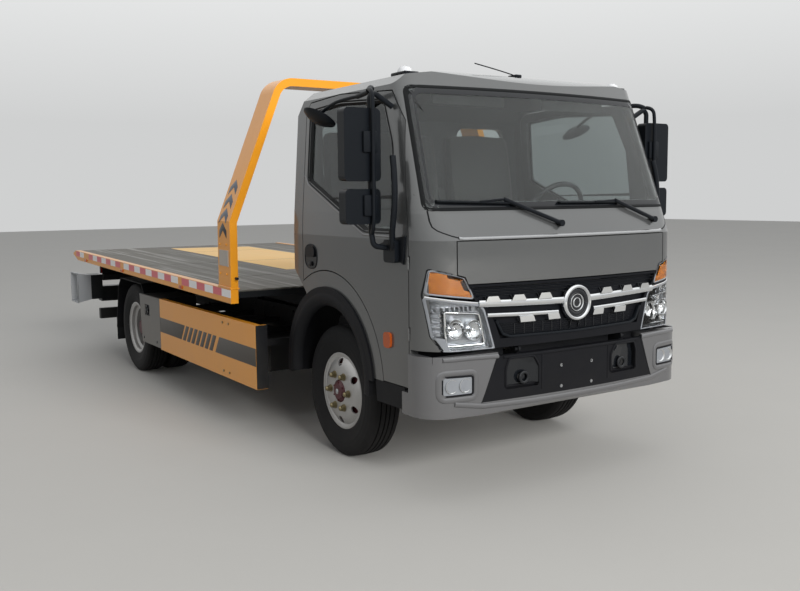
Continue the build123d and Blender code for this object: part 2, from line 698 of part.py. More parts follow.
def tool_boxes():
    """Lockers open on their outer sides, hung from the frame behind the guards."""
    boxes = []
    z0, z1 = GUARD_BOTTOM + 8, GUARD_TOP
    x0, x1 = LOCKER_REAR_BOTTOM, GUARD_REAR - 4
    for s, _ in SIDES:
        outer = span((x0, x1), band(s, GUARD_Y - LOCKER_DEPTH, GUARD_Y - LOCKER_DOOR_T - SEAT_GAP), (z0, z1))
        hollow = span((x0 + LOCKER_WALL, x1 - LOCKER_WALL), band(s, GUARD_Y - LOCKER_DEPTH + LOCKER_WALL, GUARD_Y),
                      (z0 + LOCKER_WALL, z1 - LOCKER_WALL))
        arm = span((x0 + 150, x0 + 210), band(s, RAIL_OUT_Y + SEAT_GAP, GUARD_Y - LOCKER_DEPTH + 2), (560, 620))
        boxes.append(outer - hollow + arm)
    return Compound(children=boxes)


def tool_box_door(s):
    """Locker door, hinged along its lower edge."""
    z0, z1 = GUARD_BOTTOM + 8, GUARD_TOP
    outline = ((LOCKER_REAR_BOTTOM, z0), (LOCKER_REAR_TOP, z1), (GUARD_REAR - 5, z1), (GUARD_REAR - 5, z0))
    door = side_plate(outline, s * (GUARD_Y - LOCKER_DOOR_T), s * GUARD_Y)
    x, z = LOCKER_REAR_BOTTOM + 150, 610
    return door - span((x - 60, x + 60), band(s, GUARD_Y - 8, GUARD_Y + 1), (z - 45, z + 45))


def underrun_bars():
    """Bars on either side of the lift boom, under the rear beam."""
    bars = []
    for s, _ in SIDES:
        x = UNDERRUN_X
        bar = span((x - 30, x + 30), band(s, 140, 985), (UNDERRUN_TOP - 100, UNDERRUN_TOP))
        bar += span((x - 22, x + 22), band(s, RAIL_OUT_Y + 26 + SEAT_GAP, RAIL_OUT_Y + 40), (UNDERRUN_TOP - 10, 560))
        bars.append(bar)
    return Compound(children=bars)


def tail_lamps():
    x = REAR_BEAM_X[0] - SEAT_GAP
    return Compound(children=[span((x - 45, x), band(s, *LAMP_Y), (RAIL_TOP + REAR_BEAM_H + 8, LAMP_TOP))
                              for s, _ in SIDES])


# Wheel lift

def lift_boom():
    """Square tube under the frame, hinged at its front end."""
    x, z = LIFT_PIVOT
    half = LIFT_BOOM / 2
    tube = span((-4560, x + 40), (-half, half), (z - half, z + half))
    tube -= span((-4600, x - 60), (-half + 10, half - 10), (z - half + 10, z + half - 10))
    return tube - across(x, z, 16.3, -half - 1, half + 1)


def lift_crossbar():
    """Sliding tube with the crossbar, and a cup with a flared mouth at each of its ends."""
    z = LIFT_PIVOT[1]
    half = LIFT_BOOM / 2 - 10 - LIFT_CLEAR
    bar = span((LIFT_BEAM_X, LIFT_PIVOT[0] - 80), (-half, half), (z - half, z + half))
    bar += span((LIFT_BEAM_X - LIFT_BEAM[0] / 2, LIFT_BEAM_X + LIFT_BEAM[0] / 2), (-LIFT_BEAM_Y, LIFT_BEAM_Y),
                (z - LIFT_BEAM[1] / 2, z + LIFT_BEAM[1] / 2))
    for s, _ in SIDES:
        bar += lift_cup(s)
    return bar


def tapered(size0, size1, y0, y1):
    """Four-sided taper along Y from one rectangle to another."""
    ends = []
    for (wide, high), y in ((size0, y0), (size1, y1)):
        ends.append(make_face(Polyline((-wide / 2, y, -high / 2), (wide / 2, y, -high / 2),
                                       (wide / 2, y, high / 2), (-wide / 2, y, high / 2), close=True)))
    return loft(ends, ruled=True)


def lift_cup(s):
    """Box with a flared mouth, open outward."""
    inner = [tuple(v - 2 * CUP_WALL for v in size) for size in (CUP_SIZE, CUP_MOUTH)]
    y1, y2 = CUP_BODY, CUP_BODY + CUP_FLARE
    cup = Pos(0, y1 / 2, 0) * Box(CUP_SIZE[0], y1, CUP_SIZE[1])
    cup += tapered(CUP_SIZE, CUP_MOUTH, y1, y2)
    cup -= Pos(0, y1 - 20, 0) * Box(inner[0][0], 60, inner[0][1])
    cup -= tapered(inner[0], inner[1], y1, y2)
    if s < 0:
        cup = mirror(cup, Plane.XZ)
    return Pos(LIFT_BEAM_X - 5, s * (LIFT_BEAM_Y - 2), CUP_Z) * cup


# Cab

def cab_walls(inset):
    """Solid bounded by the cab's skin, set in by the given depth, from the sill to over the roof."""
    sections = []
    for z, front, bow, half, corner in CAB_SECTIONS:
        x, y, r = front - inset, half - inset, max(corner - inset, 30)
        edge = x - bow
        outline = Polyline((edge, y), (CAB_REAR - 200, y), (CAB_REAR - 200, -y), (edge, -y))
        face = make_face([outline, ThreePointArc((edge, -y), (x, 0), (edge, y))])
        face = fillet(face.vertices().group_by(Axis.X)[-1], r)
        sections.append(Pos(0, 0, z) * face)
    body = loft(sections, ruled=True)
    roof = roof_profile(inset)
    return body & roof


def roof_profile(inset):
    """Roof as it is seen from the side, crossed with the roof as it is seen from the front."""
    rear, top = CAB_REAR + inset, 2163 - inset
    low = SILL - 60 if inset else SILL
    side = make_face([
        Polyline((-265, 0, top - 38 + 0), (rear, 0, 1985), (rear, 0, low), (1300, 0, low),
                 (1300, 0, 1700), (905 - inset, 0, 2000), (785 - inset, 0, top - 70)),
        ThreePointArc((785 - inset, 0, top - 70), (730 - inset, 0, top - 38), (640, 0, top - 18)),
        ThreePointArc((640, 0, top - 18), (150, 0, top), (-265, 0, top - 38))])
    front = make_face([
        Polyline((0, 790, top - 52), (0, 950, 1950), (0, 950, low), (0, -950, low), (0, -950, 1950),
                 (0, -790, top - 52)),
        ThreePointArc((0, -790, top - 52), (0, 0, top), (0, 790, top - 52))])
    along_cab = extrude(Pos(0, -1000, 0) * side, 2000, dir=(0, 1, 0))
    cross_cab = extrude(Pos(-700, 0, 0) * front, 2200, dir=(1, 0, 0))
    return along_cab & cross_cab


def door_outline(grow):
    """Door in side view: the front edge leans with the pillar, the foot follows the wheel arch."""
    cx, cz = ARCH_C
    seam = SEAM_R - grow
    rear = DOOR_REAR - grow
    bottom = DOOR_BOTTOM - grow
    rear_z = cz + sqrt(seam ** 2 - (rear - cx) ** 2)
    foot_x = cx + sqrt(seam ** 2 - (bottom - cz) ** 2)
    front = DOOR_FRONT + grow
    outline = Polyline((foot_x, 0, bottom), (front, 0, bottom), (front, 0, 1320), (743 + grow, 0, 1880),
                       (640 + grow, 0, 2030 + grow), (120, 0, 2062 + grow), (-225, 0, 2045 + grow),
                       (rear, 0, 2000), (rear, 0, rear_z))
    arc = ThreePointArc((rear, 0, rear_z), (cx + seam * 0.5, 0, cz + seam * sqrt(0.75)), (foot_x, 0, bottom))
    return make_face([outline, arc])


def door_prism(s, grow):
    return extrude(Pos(0, s * 700, 0) * door_outline(grow), 320, dir=(0, s, 0))


def upright(s, z0, z1, radius):
    """Cylinder on the axis of a door's hinge."""
    x, y = DOOR_HINGE
    return Pos(x, s * y, (z0 + z1) / 2) * Cylinder(radius, z1 - z0)


def door_hinge(s):
    """Knuckles with their pin on the pillar, knuckles on the door, and the room that each takes from the other."""
    pillar, leaf, pillar_room, leaf_room = [], [], [], []
    for z in DOOR_HINGE_Z:
        middle, top = z + KNUCKLE_H, z + 2 * KNUCKLE_H
        pillar.append(upright(s, z, middle, KNUCKLE_R) + upright(s, z, top, DOOR_PIN_R))
        leaf.append(upright(s, middle + SEAT_GAP, top, KNUCKLE_R) - upright(s, middle, top + 1, DOOR_PIN_R + SEAT_GAP))
        pillar_room.append(upright(s, middle, top + RUN_GAP, KNUCKLE_R + RUN_GAP))
        leaf_room.append(upright(s, z - RUN_GAP, middle + SEAT_GAP, KNUCKLE_R + RUN_GAP))
    return pillar, leaf, pillar_room, leaf_room


def window_prism(s, grow):
    """Side window: its lower edge drops towards the front."""
    points = ((-215, 1600), (430, 1330), (700, 1330), (668, 1760), (560, 1990), (120, 2015), (-215, 1995))
    face = make_face(Polyline(*[(x, 0, z) for x, z in points], close=True))
    face = offset(face, amount=grow) if grow else face
    return extrude(Pos(0, s * 700, 0) * face, 320, dir=(0, s, 0))


def screen_prism(grow):
    points = mirrored(((838 + grow, 1440 - grow), (803 + grow, 2048 + grow)))
    return front_plate(points, 500, 1250)


def lamp_outline(grow=0):
    """Headlamp with the indicator over it, for positive Y."""
    g = grow
    return ((523 - g, 752), (583 - g, 954), (640 - g, 1006), (690 - g, 1110), (849, 1153), (838, 827), (796, 752))


def lamp_prism(s, grow=0):
    return front_plate([(s * y, z) for y, z in lamp_outline(grow)], FRONT_CUT, 1250)


def grille_outline():
    g = SEAT_GAP + 0.1
    return mirrored(((523 - g, 752), (583 - g, 954), (640 - g, 1006), (672 - g, 1073)))


def grille_recess():
    """Mesh field behind the bars, round the raised seat of the badge."""
    field = front_plate(mirrored(((488, 800), (520, 882), (568, 962), (628, 1016), (650, 1062))), FRONT_CUT, 1250)
    return field - along(FRONT_CUT - 1, 1251, 0, 948, 92)


def lid_outline():
    return mirrored(((667, 1079), (683, 1115), (LID_HALF, 1127), (LID_HALF, CREASE_Z - 4)))


def front_opening():
    """Hole in the shell's front that the grille, the lamps and the lid fill together."""
    g = SEAT_GAP
    lid_edge = LID_HALF + RUN_GAP
    (y0, z0), (y1, z1) = lamp_outline()[3:5]
    lamp_top = z0 + (z1 - z0) * (lid_edge - y0) / (y1 - y0)
    return mirrored(((796 + g, FRONT_EDGE - 20), (838 + g, 827), (849 + g, 1153 + 2 * g),
                     (lid_edge, lamp_top + 2 * g), (lid_edge, CREASE_Z)))


def rear_window_prism(s, grow=0):
    """Opening in the back wall."""
    shape = Rectangle(400 + 2 * grow, 360 + 2 * grow)
    shape = fillet(shape.vertices(), 60 + grow)
    return Pos(CAB_REAR + 22, s * 500, 1770) * Rot(0, 90, 0) * Rot(0, 0, 90) * extrude(shape, 60, both=True)


def cab_floor(inside):
    """Pressed floor: a shelf over the wheels, foot wells before it, a tunnel over the engine and a firewall."""
    t = FLOOR_T
    g = SEAT_GAP
    low = WELL_FLOOR_Z - t
    side = TUNNEL_Y + t + g
    riser_x = 475
    tunnel = span((CAB_REAR, FIREWALL_X - g), (-TUNNEL_Y - t, TUNNEL_Y + t), (low, TUNNEL_Z))
    tunnel -= span((-500, 1200), (-TUNNEL_Y, TUNNEL_Y), (SILL, TUNNEL_Z - t))
    tunnel -= span((-500, riser_x - t), (-500, 500), (SILL, FLOOR_Z - t))
    firewall = span((FIREWALL_X, FIREWALL_X + 20), (-CAB_HALF, CAB_HALF), (low, 1415))
    firewall -= span((900, 1200), (-TUNNEL_Y, TUNNEL_Y), (SILL, TUNNEL_Z - t))
    pieces = [tunnel, firewall]
    arch = across(*ARCH_C, FLARE_R, -1000, 1000)
    for s, _ in SIDES:
        wide = band(s, side, CAB_HALF)
        pieces.append(side_plate(((CAB_REAR + 20, 1085), (CAB_REAR + 20, 1125), (CAB_REAR + 46, 1125), (-238, FLOOR_Z),
                                  (riser_x - t - g, FLOOR_Z), (riser_x - t - g, FLOOR_Z - t), (-228, FLOOR_Z - t)),
                                 *wide))
        pieces.append(span((riser_x - t, riser_x), wide, (low, FLOOR_Z)))
        step = span((640, 840), band(s, 640, CAB_HALF + 10), (SILL + 20, WELL_FLOOR_Z + 10))
        pieces.append(span((riser_x + g, FIREWALL_X - g), wide, (low, WELL_FLOOR_Z)) - step)
        pieces.append(span((FIREWALL_X + 20 + g, 1085), wide, (low, WELL_FLOOR_Z)) + cab_hinge_lug(s))
        pieces.append(span((riser_x - t, 640 - g), band(s, 600, CAB_HALF), (SILL, low - g)) - arch)
        pieces.append(span((640, 862), band(s, 600, CAB_HALF), (SILL, low - g)) - step)
    return [piece & inside for piece in pieces]


def pressings(shell):
    """Roof, rear wall with the rear pillars, windscreen pillars, cowl and front corners, as they are welded up."""
    g = SEAT_GAP / 2
    header, cowl, wall, arch = 2032, GLASS_Z + 20, CAB_REAR + 50, ARCH_C[1] + SEAM_R - 5
    fields = [((-500, 1300), (-1000, 1000), (header + g, 2400)), ((-500, wall - g), (-1000, 1000), (0, header - g)),
              ((600, 1300), (-1000, 1000), (CREASE_Z + g, cowl - g))]
    for s, _ in SIDES:
        outward = band(s, 0, 1000)
        fields.append(((wall + g, 600), outward, (arch + g, header - g)))
        fields.append(((wall + g, 600), outward, (0, arch - g)))
        fields.append(((600, 1300), outward, (cowl + g, header - g)))
        fields.append(((600, 1300), outward, (0, CREASE_Z - g)))
    return [shell & span(*field) for field in fields]


def cab_shape():
    """Skin of the cab with every opening still closed, and the space inside it."""
    outer = cab_walls(0)
    inside = cab_walls(CAB_WALL)
    cx, cz = ARCH_C
    below = side_plate(((CAB_REAR - 40, 1120), (CAB_REAR - 0, 1080), (-240, 945), (-240, 300), (CAB_REAR - 40, 300)),
                       -1100, 1100)
    below += across(cx, cz, FLARE_R, -1100, 1100)
    below += span((862, 1300), (-1100, 1100), (300, FRONT_EDGE))
    below += span((-700, cx), (-1100, 1100), (300, cz))
    return outer - below, inside


def cab():
    """Splits the cab's skin into the shell, the doors, the lid, the lamps, the grille and the glass."""
    outer, inside = cab_shape()
    skin = outer - inside
    pane = cab_walls(16) - cab_walls(21)
    door_depth = outer - cab_walls(CAB_WALL + RUN_GAP)
    floor = cab_floor(cab_walls(CAB_WALL + SEAT_GAP))
    shell = skin - ((outer - cab_walls(SCREEN_T + SEAT_GAP)) & screen_prism(SEAT_GAP))
    shell -= screen_prism(-35)
    shell -= front_plate(front_opening(), FRONT_CUT, 1250) & outer
    windows = [(outer - cab_walls(SCREEN_T)) & screen_prism(0)]
    parts = {}
    for s, name in SIDES:
        parts["door_" + name] = (skin & door_prism(s, 0)) - window_prism(s, 0)
        parts["door_glass_" + name] = pane & window_prism(s, -SEAT_GAP)
        parts["lamp_" + name] = skin & lamp_prism(s)
        doorway = door_prism(s, RUN_GAP)
        shell -= doorway & door_depth
        pillar, leaf, pillar_room, leaf_room = door_hinge(s)
        shell = shell - pillar_room + pillar
        parts["door_" + name] = parts["door_" + name] - leaf_room + leaf
        floor = [piece - (doorway & door_depth) for piece in floor]
        shell -= rear_window_prism(s)
        windows.append(rear_window_prism(s, -SEAT_GAP) & span((CAB_REAR + 18, CAB_REAR + 24), (-800, 800), (1500, 2000)))
    parts["grille"] = skin & front_plate(grille_outline(), FRONT_CUT, 1250)
    parts["grille"] -= grille_recess() & (outer - cab_walls(GRILLE_DEPTH))
    parts["front_lid"] = (outer - cab_walls(LID_T)) & front_plate(lid_outline(), FRONT_CUT, 1250)
    y, z = LID_STOP
    stops = [along(FIREWALL_X + 10, FIREWALL_X + 135, s * y, z, LID_STOP_R) for s, _ in SIDES]
    floor[1] += [stop & cab_walls(LID_T + SEAT_GAP) for stop in stops]
    parts["cab_shell"] = Compound(children=pressings(shell))
    parts["cab_floor"] = Compound(children=floor)
    parts["cab_windows"] = Compound(children=windows)
    return parts


def wheel_flares():
    """Black flares round the front arches, with their liners, and the skirts ahead of them."""
    cx, cz = ARCH_C
    flares = []
    for s, _ in SIDES:
        ring = across(cx, cz, FLARE_R - SEAT_GAP, s * 845, s * (CAB_HALF + 12))
        ring += across(cx, cz, FLARE_R - 25, s * 600, s * 850)
        ring -= across(cx, cz, FLARE_R - FLARE_T, s * 590, s * 950)
        ring -= span((cx - 700, cx), (-1100, 1100), (0, 445))
        ring -= span((cx, cx + 700), (-1100, 1100), (0, SILL - 15))
        ring -= span((cx - 700, cx + 700), band(s, 0, 842), (FLOOR_Z - FLOOR_T - SEAT_GAP, 1200))
        flares.append(ring)
        flares.append(side_plate(((540, 440), (806, 440), (806, SILL - SEAT_GAP), (526, SILL - SEAT_GAP)),
                                 s * (CAB_HALF - 26), s * (CAB_HALF - 2)))
        flares.append(span((560, 640), band(s, 610, CAB_HALF - 26 - SEAT_GAP), (SILL - 45, SILL - SEAT_GAP)))
    return Compound(children=flares)


def dashboard():
    """Dashboard across the cab with the steering column's shroud."""
    profile = ((955, 1040), (955, 1395), (760, 1405), (640, 1370), (600, 1290), (700, 1130), (800, 1040))
    dash = side_plate(profile, -790, 790) & cab_walls(CAB_WALL + 2)
    dash -= span((0, 1200), band(1, -TUNNEL_Y - FLOOR_T - SEAT_GAP, TUNNEL_Y + FLOOR_T + SEAT_GAP), (1000, TUNNEL_Z + SEAT_GAP))
    return dash + rod((700, 400, 1250), (480, 400, 1375), 36)


def steering_wheel():
    """Wheel on the column at the left, leaning with it."""
    centre = Vector(472, 400, 1380)
    direction = Vector(700 - 480, 0, 1250 - 1375).normalized()
    plane = Plane(origin=centre, z_dir=direction)
    ring = plane * Torus(215, 15)
    hub = plane * Pos(0, 0, -4) * Cylinder(55, 34)
    spokes = plane * Box(30, 410, 14)
    spokes += plane * Pos(-100, 0, 0) * Box(205, 30, 14)
    return (ring + hub + spokes) - rod((700, 400, 1250), (466, 400, 1383), 36.5)


def seats():
    """Driver's seat and a double passenger seat, each a cushion with a back."""
    group = []
    for y0, y1 in ((180, 700), (-720, 90)):
        low = TUNNEL_Z + SEAT_GAP
        side = ((-310, low), (-320, 1190), (-330, 1900), (-240, 1900), (-150, 1330), (280, 1320), (300, 1180),
                (240, low))
        group.append(side_plate(side, y0, y1))
    return Compound(children=group)


def mirrors(s):
    """Mirror arm, a bent tube from foot to upper bracket, with its two heads, standing off the door."""
    x, y = MIRROR_X, MIRROR_TUBE_Y
    path = FilletPolyline((x + 40, s * 880, 1245), (x + 20, s * y, 1262), (x, s * y, 1330), (x, s * y, 2026),
                          (x - 8, s * (CAB_HALF - 34), 1950), radius=28)
    arm = sweep(Plane(origin=path @ 0, z_dir=path % 0) * Circle(MIRROR_TUBE_R), path=path)
    foot = span((x + 5, x + 110), band(s, CAB_HALF + SEAT_GAP, CAB_HALF + 34), (1178, 1292))
    arm += fillet(foot.edges().filter_by(Axis.Y), 18)
    for height, width, centre in ((352, 206, 1757), (172, 200, 1457)):
        head = Pos(x, s * (y + 62), centre) * Box(64, width, height)
        arm += fillet(head.edges().filter_by(Axis.X), 24)
    return arm - span((x - 60, x + 140), band(s, CAB_HALF - 60, CAB_HALF + SEAT_GAP), (1150, 1320))


# Front end

def bumper_walls(inset, low, high):
    """Bumper's plan form between two heights."""
    x, y, bow, corner = FRONT_OVERHANG - inset, BUMPER_HALF - inset, 72, 150 - inset
    edge = x - bow
    outline = Polyline((edge, y), (600, y), (600, -y), (edge, -y))
    face = make_face([outline, ThreePointArc((edge, -y), (x, 0), (edge, y))])
    face = fillet(face.vertices().group_by(Axis.X)[-1], corner)
    return extrude(Pos(0, 0, low) * face, high - low)


def insert_outline(grow=0):
    g = grow
    return mirrored(((606 + g, CHIN_TOP - g), (503 + g, BUMPER_TOP + 20)))


def bumper_shell():
    """Bumper skin with a ledge along its top, cut back under the doors and bevelled along its chin."""
    shell = bumper_walls(0, BUMPER_BOTTOM, BUMPER_TOP) - bumper_walls(BUMPER_T, BUMPER_BOTTOM - 1, BUMPER_TOP - BUMPER_T)
    shell -= span((500, 862 + RUN_GAP), (-1200, 1200), (DOOR_BOTTOM - 18, 900))
    shell -= span((500, 812), (-1200, 1200), (0, 900))
    shell -= span((500, 1012), (-860, 860), (BUMPER_TOP - BUMPER_T - 5, 900))
    chin = side_plate(((1140, 420), (1140, 475), (1060, 420)), -1200, 1200)
    return shell - chin


def fog_prism(s, grow=0):
    g = grow
    outline = ((655 - g, 538 - g), (655 - g, 634 + g), (825 + g, 638 + g), (825 + g, 538 - g))
    return front_plate([(s * y, z) for y, z in outline], 900, 1200)


def tow_recess(s):
    outline = ((264, 542), (264, 646), (300, 693), (442, 693), (460, 646), (460, 542))
    return front_plate([(s * y, z) for y, z in outline], 900, 1200)


def front_end():
    """Bumper with its carrier beam, the black middle piece and the fog lamps."""
    shell = bumper_shell()
    insert = shell & front_plate(insert_outline(), 1000, 1200)
    insert -= span((900, 1200), (-700, 700), (INSERT_TOP, 900)) + span((900, 1060), (-700, 700), (INSERT_TOP - 30, 900))
    x, z = CAB_HINGE
    for s, _ in SIDES:
        insert -= across(x, z, HINGE_LUG_R + RUN_GAP, s * (RAIL_OUT_Y - RUN_GAP), s * (RAIL_OUT_Y + 2 * HINGE_T + 12))
    for s, _ in SIDES:
        insert -= along(1000, 1200, s * PLATE_HOLE_Y, PLATE_HOLE_Z, PLATE_HOLE_R)
    body = shell - front_plate(insert_outline(SEAT_GAP), 1000, 1200)
    x = RAIL_FRONT + SEAT_GAP
    body += span((x, x + 30), (-640, 640), (590, 650))
    for s, _ in SIDES:
        body += span((x, 1056), band(s, 596, 640), (590, 650))
    for s, _ in SIDES:
        body -= fog_prism(s, SEAT_GAP)
        insert -= tow_recess(s) & (bumper_walls(0, 400, 800) - bumper_walls(TOW_DEPTH, 400, 800))
    fogs = [shell & fog_prism(s) for s, _ in SIDES]
    split = 862 + RUN_GAP
    ends = [body & span((700, split - SEAT_GAP), band(s, 0, 1000), (0, 900)) for s, _ in SIDES]
    body = Compound(children=[body & span((split, 1300), (-1000, 1000), (0, 900))] + ends)
    return {"bumper": body, "bumper_insert": insert, "fog_lamps": Compound(children=fogs)}


def build():
    parts = {}
    for s, name in SIDES:
        parts["tyre_front_" + name], parts["rim_front_" + name] = front_wheel(s)
        parts["tyres_rear_" + name], parts["rims_rear_" + name] = rear_wheel(s)
        parts["knuckle_" + name] = knuckle(s)
        parts["mirrors_" + name] = mirrors(s)
        parts["tool_box_door_" + name] = tool_box_door(s)
    parts["front_axle"] = front_axle()
    parts["rear_axle"] = rear_axle()
    parts["leaf_springs"] = leaf_springs()
    parts["frame_rails"] = frame_rails()
    parts["frame_members"] = frame_members()
    parts["frame_tail"] = frame_tail()
    parts["lift_ears"] = lift_ears()
    parts["engine_block"] = engine_block()
    parts["driveline"] = driveline()
    parts["fuel_tank"] = fuel_tank()
    parts["battery_box"] = battery_box()
    parts["rear_mudguards"] = rear_mudguards()
    parts["side_guards"] = side_guards()
    parts["tool_boxes"] = tool_boxes()
    parts["underrun_bars"] = underrun_bars()
    parts["tail_lamps"] = tail_lamps()
    parts["tilt_frame"] = tilt_frame()
    parts["bed_deck"] = rake(bed_deck())
    parts["bed_rails"] = rake(bed_rails())
    parts["bed_arch"] = rake(bed_arch())
    parts["winch"] = rake(winch())
    parts["winch_drum"] = rake(winch_drum())
    parts["tilt_barrels"] = tilt_barrels()
    parts["tilt_rods"] = tilt_rods()
    parts["lift_boom"] = lift_boom()
    parts["lift_crossbar"] = lift_crossbar()
    body = cab()
    parts["headlamps"] = Compound(children=[body.pop("lamp_right"), body.pop("lamp_left")])
    parts.update(body)
    parts["wheel_flares"] = wheel_flares()
    parts["dashboard"] = dashboard()
    parts["steering_wheel"] = steering_wheel()
    parts["seats"] = seats()
    parts.update(front_end())
    return parts


def main():
    os.makedirs("parts", exist_ok=True)
    for name, piece in build().items():
        export_step(Pos(MID_SHIFT, 0, 0) * piece, os.path.join("parts", name + ".step"))


main()
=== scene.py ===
import math

import bmesh
import bpy
from mathutils import Matrix, Vector
from mathutils.bvhtree import BVHTree


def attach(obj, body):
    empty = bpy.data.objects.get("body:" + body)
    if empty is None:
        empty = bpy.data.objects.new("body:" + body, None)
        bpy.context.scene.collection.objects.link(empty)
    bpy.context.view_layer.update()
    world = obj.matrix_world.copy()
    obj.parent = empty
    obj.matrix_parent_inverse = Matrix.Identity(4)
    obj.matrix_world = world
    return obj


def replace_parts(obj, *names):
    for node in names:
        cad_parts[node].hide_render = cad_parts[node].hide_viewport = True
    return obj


# Light flatbed tow truck, cab over engine. Sizes are millimetres unless a name says otherwise.
# X is a station from the front axle, forward positive. Y is to the left and Z the height over the ground.

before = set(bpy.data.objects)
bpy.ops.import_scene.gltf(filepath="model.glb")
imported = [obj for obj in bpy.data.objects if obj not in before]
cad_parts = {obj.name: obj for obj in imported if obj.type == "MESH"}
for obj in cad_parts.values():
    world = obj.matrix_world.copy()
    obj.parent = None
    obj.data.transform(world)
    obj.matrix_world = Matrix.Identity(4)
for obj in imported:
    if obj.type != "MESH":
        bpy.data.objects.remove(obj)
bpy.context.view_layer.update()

FRONT_AXLE = 1892.5       # front axle ahead of the truck's middle
WHEELBASE = 3308
AXLE_HEIGHT = 384
CAB_REAR_INSIDE = -338    # the cab's back wall, seen from the seats
BED_RAKE_DEGREES = 1      # nose down against the chassis
BED_RAKE = math.radians(BED_RAKE_DEGREES)
SIDES = ((-1, "right"), (1, "left"))
TURNS = {"x": (0, math.pi / 2, 0), "y": (math.pi / 2, 0, 0), "z": (0, 0, 0)}


def at(x, y, z):
    """Point in metres in the part's frame, from a station in millimetres."""
    return Vector(((x + FRONT_AXLE) / 1000, y / 1000, z / 1000))


# Modelling

def begin():
    """Deselects everything, so that an operator acts on the new piece alone."""
    bpy.ops.object.select_all(action="DESELECT")


def enter(name, data):
    """Object for new data, selected and active."""
    piece = bpy.data.objects.new(name, data)
    bpy.context.collection.objects.link(piece)
    piece.select_set(True)
    bpy.context.view_layer.objects.active = piece
    return piece


def settle(piece, edge, angle=35, segments=2):
    """Places the piece in its mesh, rounds its sharp edges and shades it smooth."""
    bpy.ops.object.transform_apply(location=True, rotation=True, scale=True)
    if edge:
        bevel = piece.modifiers.new("edge", "BEVEL")
        bevel.width = edge / 1000
        bevel.segments = segments
        bevel.limit_method = "ANGLE"
        bevel.angle_limit = math.radians(30)
        bpy.ops.object.modifier_apply(modifier=bevel.name)
    bpy.ops.object.shade_smooth_by_angle(angle=math.radians(angle))
    return piece


def block(x, y, z, edge=2, segments=2):
    """Block between two limits on each axis."""
    begin()
    low, high = at(min(x), min(y), min(z)), at(max(x), max(y), max(z))
    bpy.ops.mesh.primitive_cube_add(size=1, location=(low + high) / 2, scale=high - low)
    return settle(bpy.context.object, edge, segments=segments)


def drum(centre, axis, radius, length, edge=1.5, sides=32):
    """Round or many-sided bar along an axis."""
    begin()
    size = radius / 1000
    bpy.ops.mesh.primitive_cone_add(vertices=sides, radius1=size, radius2=size, depth=length / 1000)
    piece = bpy.context.object
    turn = {"x": Matrix.Rotation(math.pi / 2, 4, "Y"), "y": Matrix.Rotation(-math.pi / 2, 4, "X"),
            "z": Matrix()}
    piece.data.transform(Matrix.Translation(at(*centre)) @ turn[axis])
    return settle(piece, edge)


def ring(centre, axis, radius, thickness, sides=48):
    """Round bar closed to a ring across an axis."""
    begin()
    bpy.ops.mesh.primitive_torus_add(major_radius=radius / 1000, minor_radius=thickness / 1000,
                                     major_segments=sides, minor_segments=10, location=at(*centre),
                                     rotation=TURNS[axis])
    return settle(bpy.context.object, 0, 180)


def prism(points, axis, low, high, edge=1):
    """Outline of corners in the plane across Y or Z, drawn out along that axis from low to high."""
    begin()
    bpy.ops.mesh.primitive_circle_add(vertices=len(points), radius=1, fill_type="NGON")
    piece = bpy.context.object
    for vertex, (u, v) in zip(piece.data.vertices, points):
        vertex.co = at(u, low, v) if axis == "y" else at(u, v, low)
    step = {"y": (0, 1, 0), "z": (0, 0, 1)}[axis]
    bpy.ops.object.mode_set(mode="EDIT")
    bpy.ops.mesh.select_all(action="SELECT")
    bpy.ops.mesh.extrude_region_move(
        TRANSFORM_OT_translate={"value": [(high - low) / 1000 * s for s in step], "orient_type": "GLOBAL"})
    bpy.ops.mesh.select_all(action="SELECT")
    bpy.ops.mesh.normals_make_consistent(inside=False)
    bpy.ops.object.mode_set(mode="OBJECT")
    return settle(piece, edge)


def tube(points, radius, sides=10, order=3):
    """Round bar bent smoothly along its points."""
    begin()
    curve = bpy.data.curves.new("bar", "CURVE")
    curve.dimensions = "3D"
    curve.bevel_depth = radius / 1000
    curve.bevel_resolution = max(1, sides // 4)
    curve.use_fill_caps = True
    line = curve.splines.new("NURBS")
    line.points.add(len(points) - 1)
    for point, place in zip(line.points, points):
        point.co = (*at(*place), 1)
    line.order_u = min(order, len(points))
    line.use_endpoint_u = True
    line.resolution_u = 8
    enter("bar", curve)
    bpy.ops.object.convert(target="MESH")
    return settle(bpy.context.object, 0, 60)


def lathe(centre, profile, steps=64, side=1):
    """Profile of radius and offset along Y, turned round the axle line through centre."""
    begin()
    mesh = bpy.data.meshes.new("turned")
    x, y, z = centre
    corners = [at(x, y + side * offset, z + radius) for radius, offset in profile]
    lines = [(k, (k + 1) % len(profile)) for k in range(len(profile))]
    mesh.from_pydata(corners, lines, [])
    piece = enter("turned", mesh)
    bpy.ops.object.mode_set(mode="EDIT")
    bpy.ops.mesh.select_all(action="SELECT")
    bpy.ops.mesh.spin(steps=steps, angle=2 * math.pi, center=at(*centre), axis=(0, 1, 0))
    bpy.ops.mesh.select_all(action="SELECT")
    bpy.ops.mesh.remove_doubles(threshold=0.00005)
    bpy.ops.mesh.normals_make_consistent(inside=False)
    bpy.ops.object.mode_set(mode="OBJECT")
    return settle(piece, 0, 40)


def turned(piece, centre, axis, angle):
    """Turns a piece about a line through centre."""
    foot = Matrix.Translation(at(*centre))
    piece.data.transform(foot @ Matrix.Rotation(math.radians(angle), 4, axis) @ foot.inverted())
    return piece


def rake(piece):
    """Turns a piece that was drawn level to the lie of the bed."""
    return turned(piece, (0, 0, 0), "Y", BED_RAKE_DEGREES)


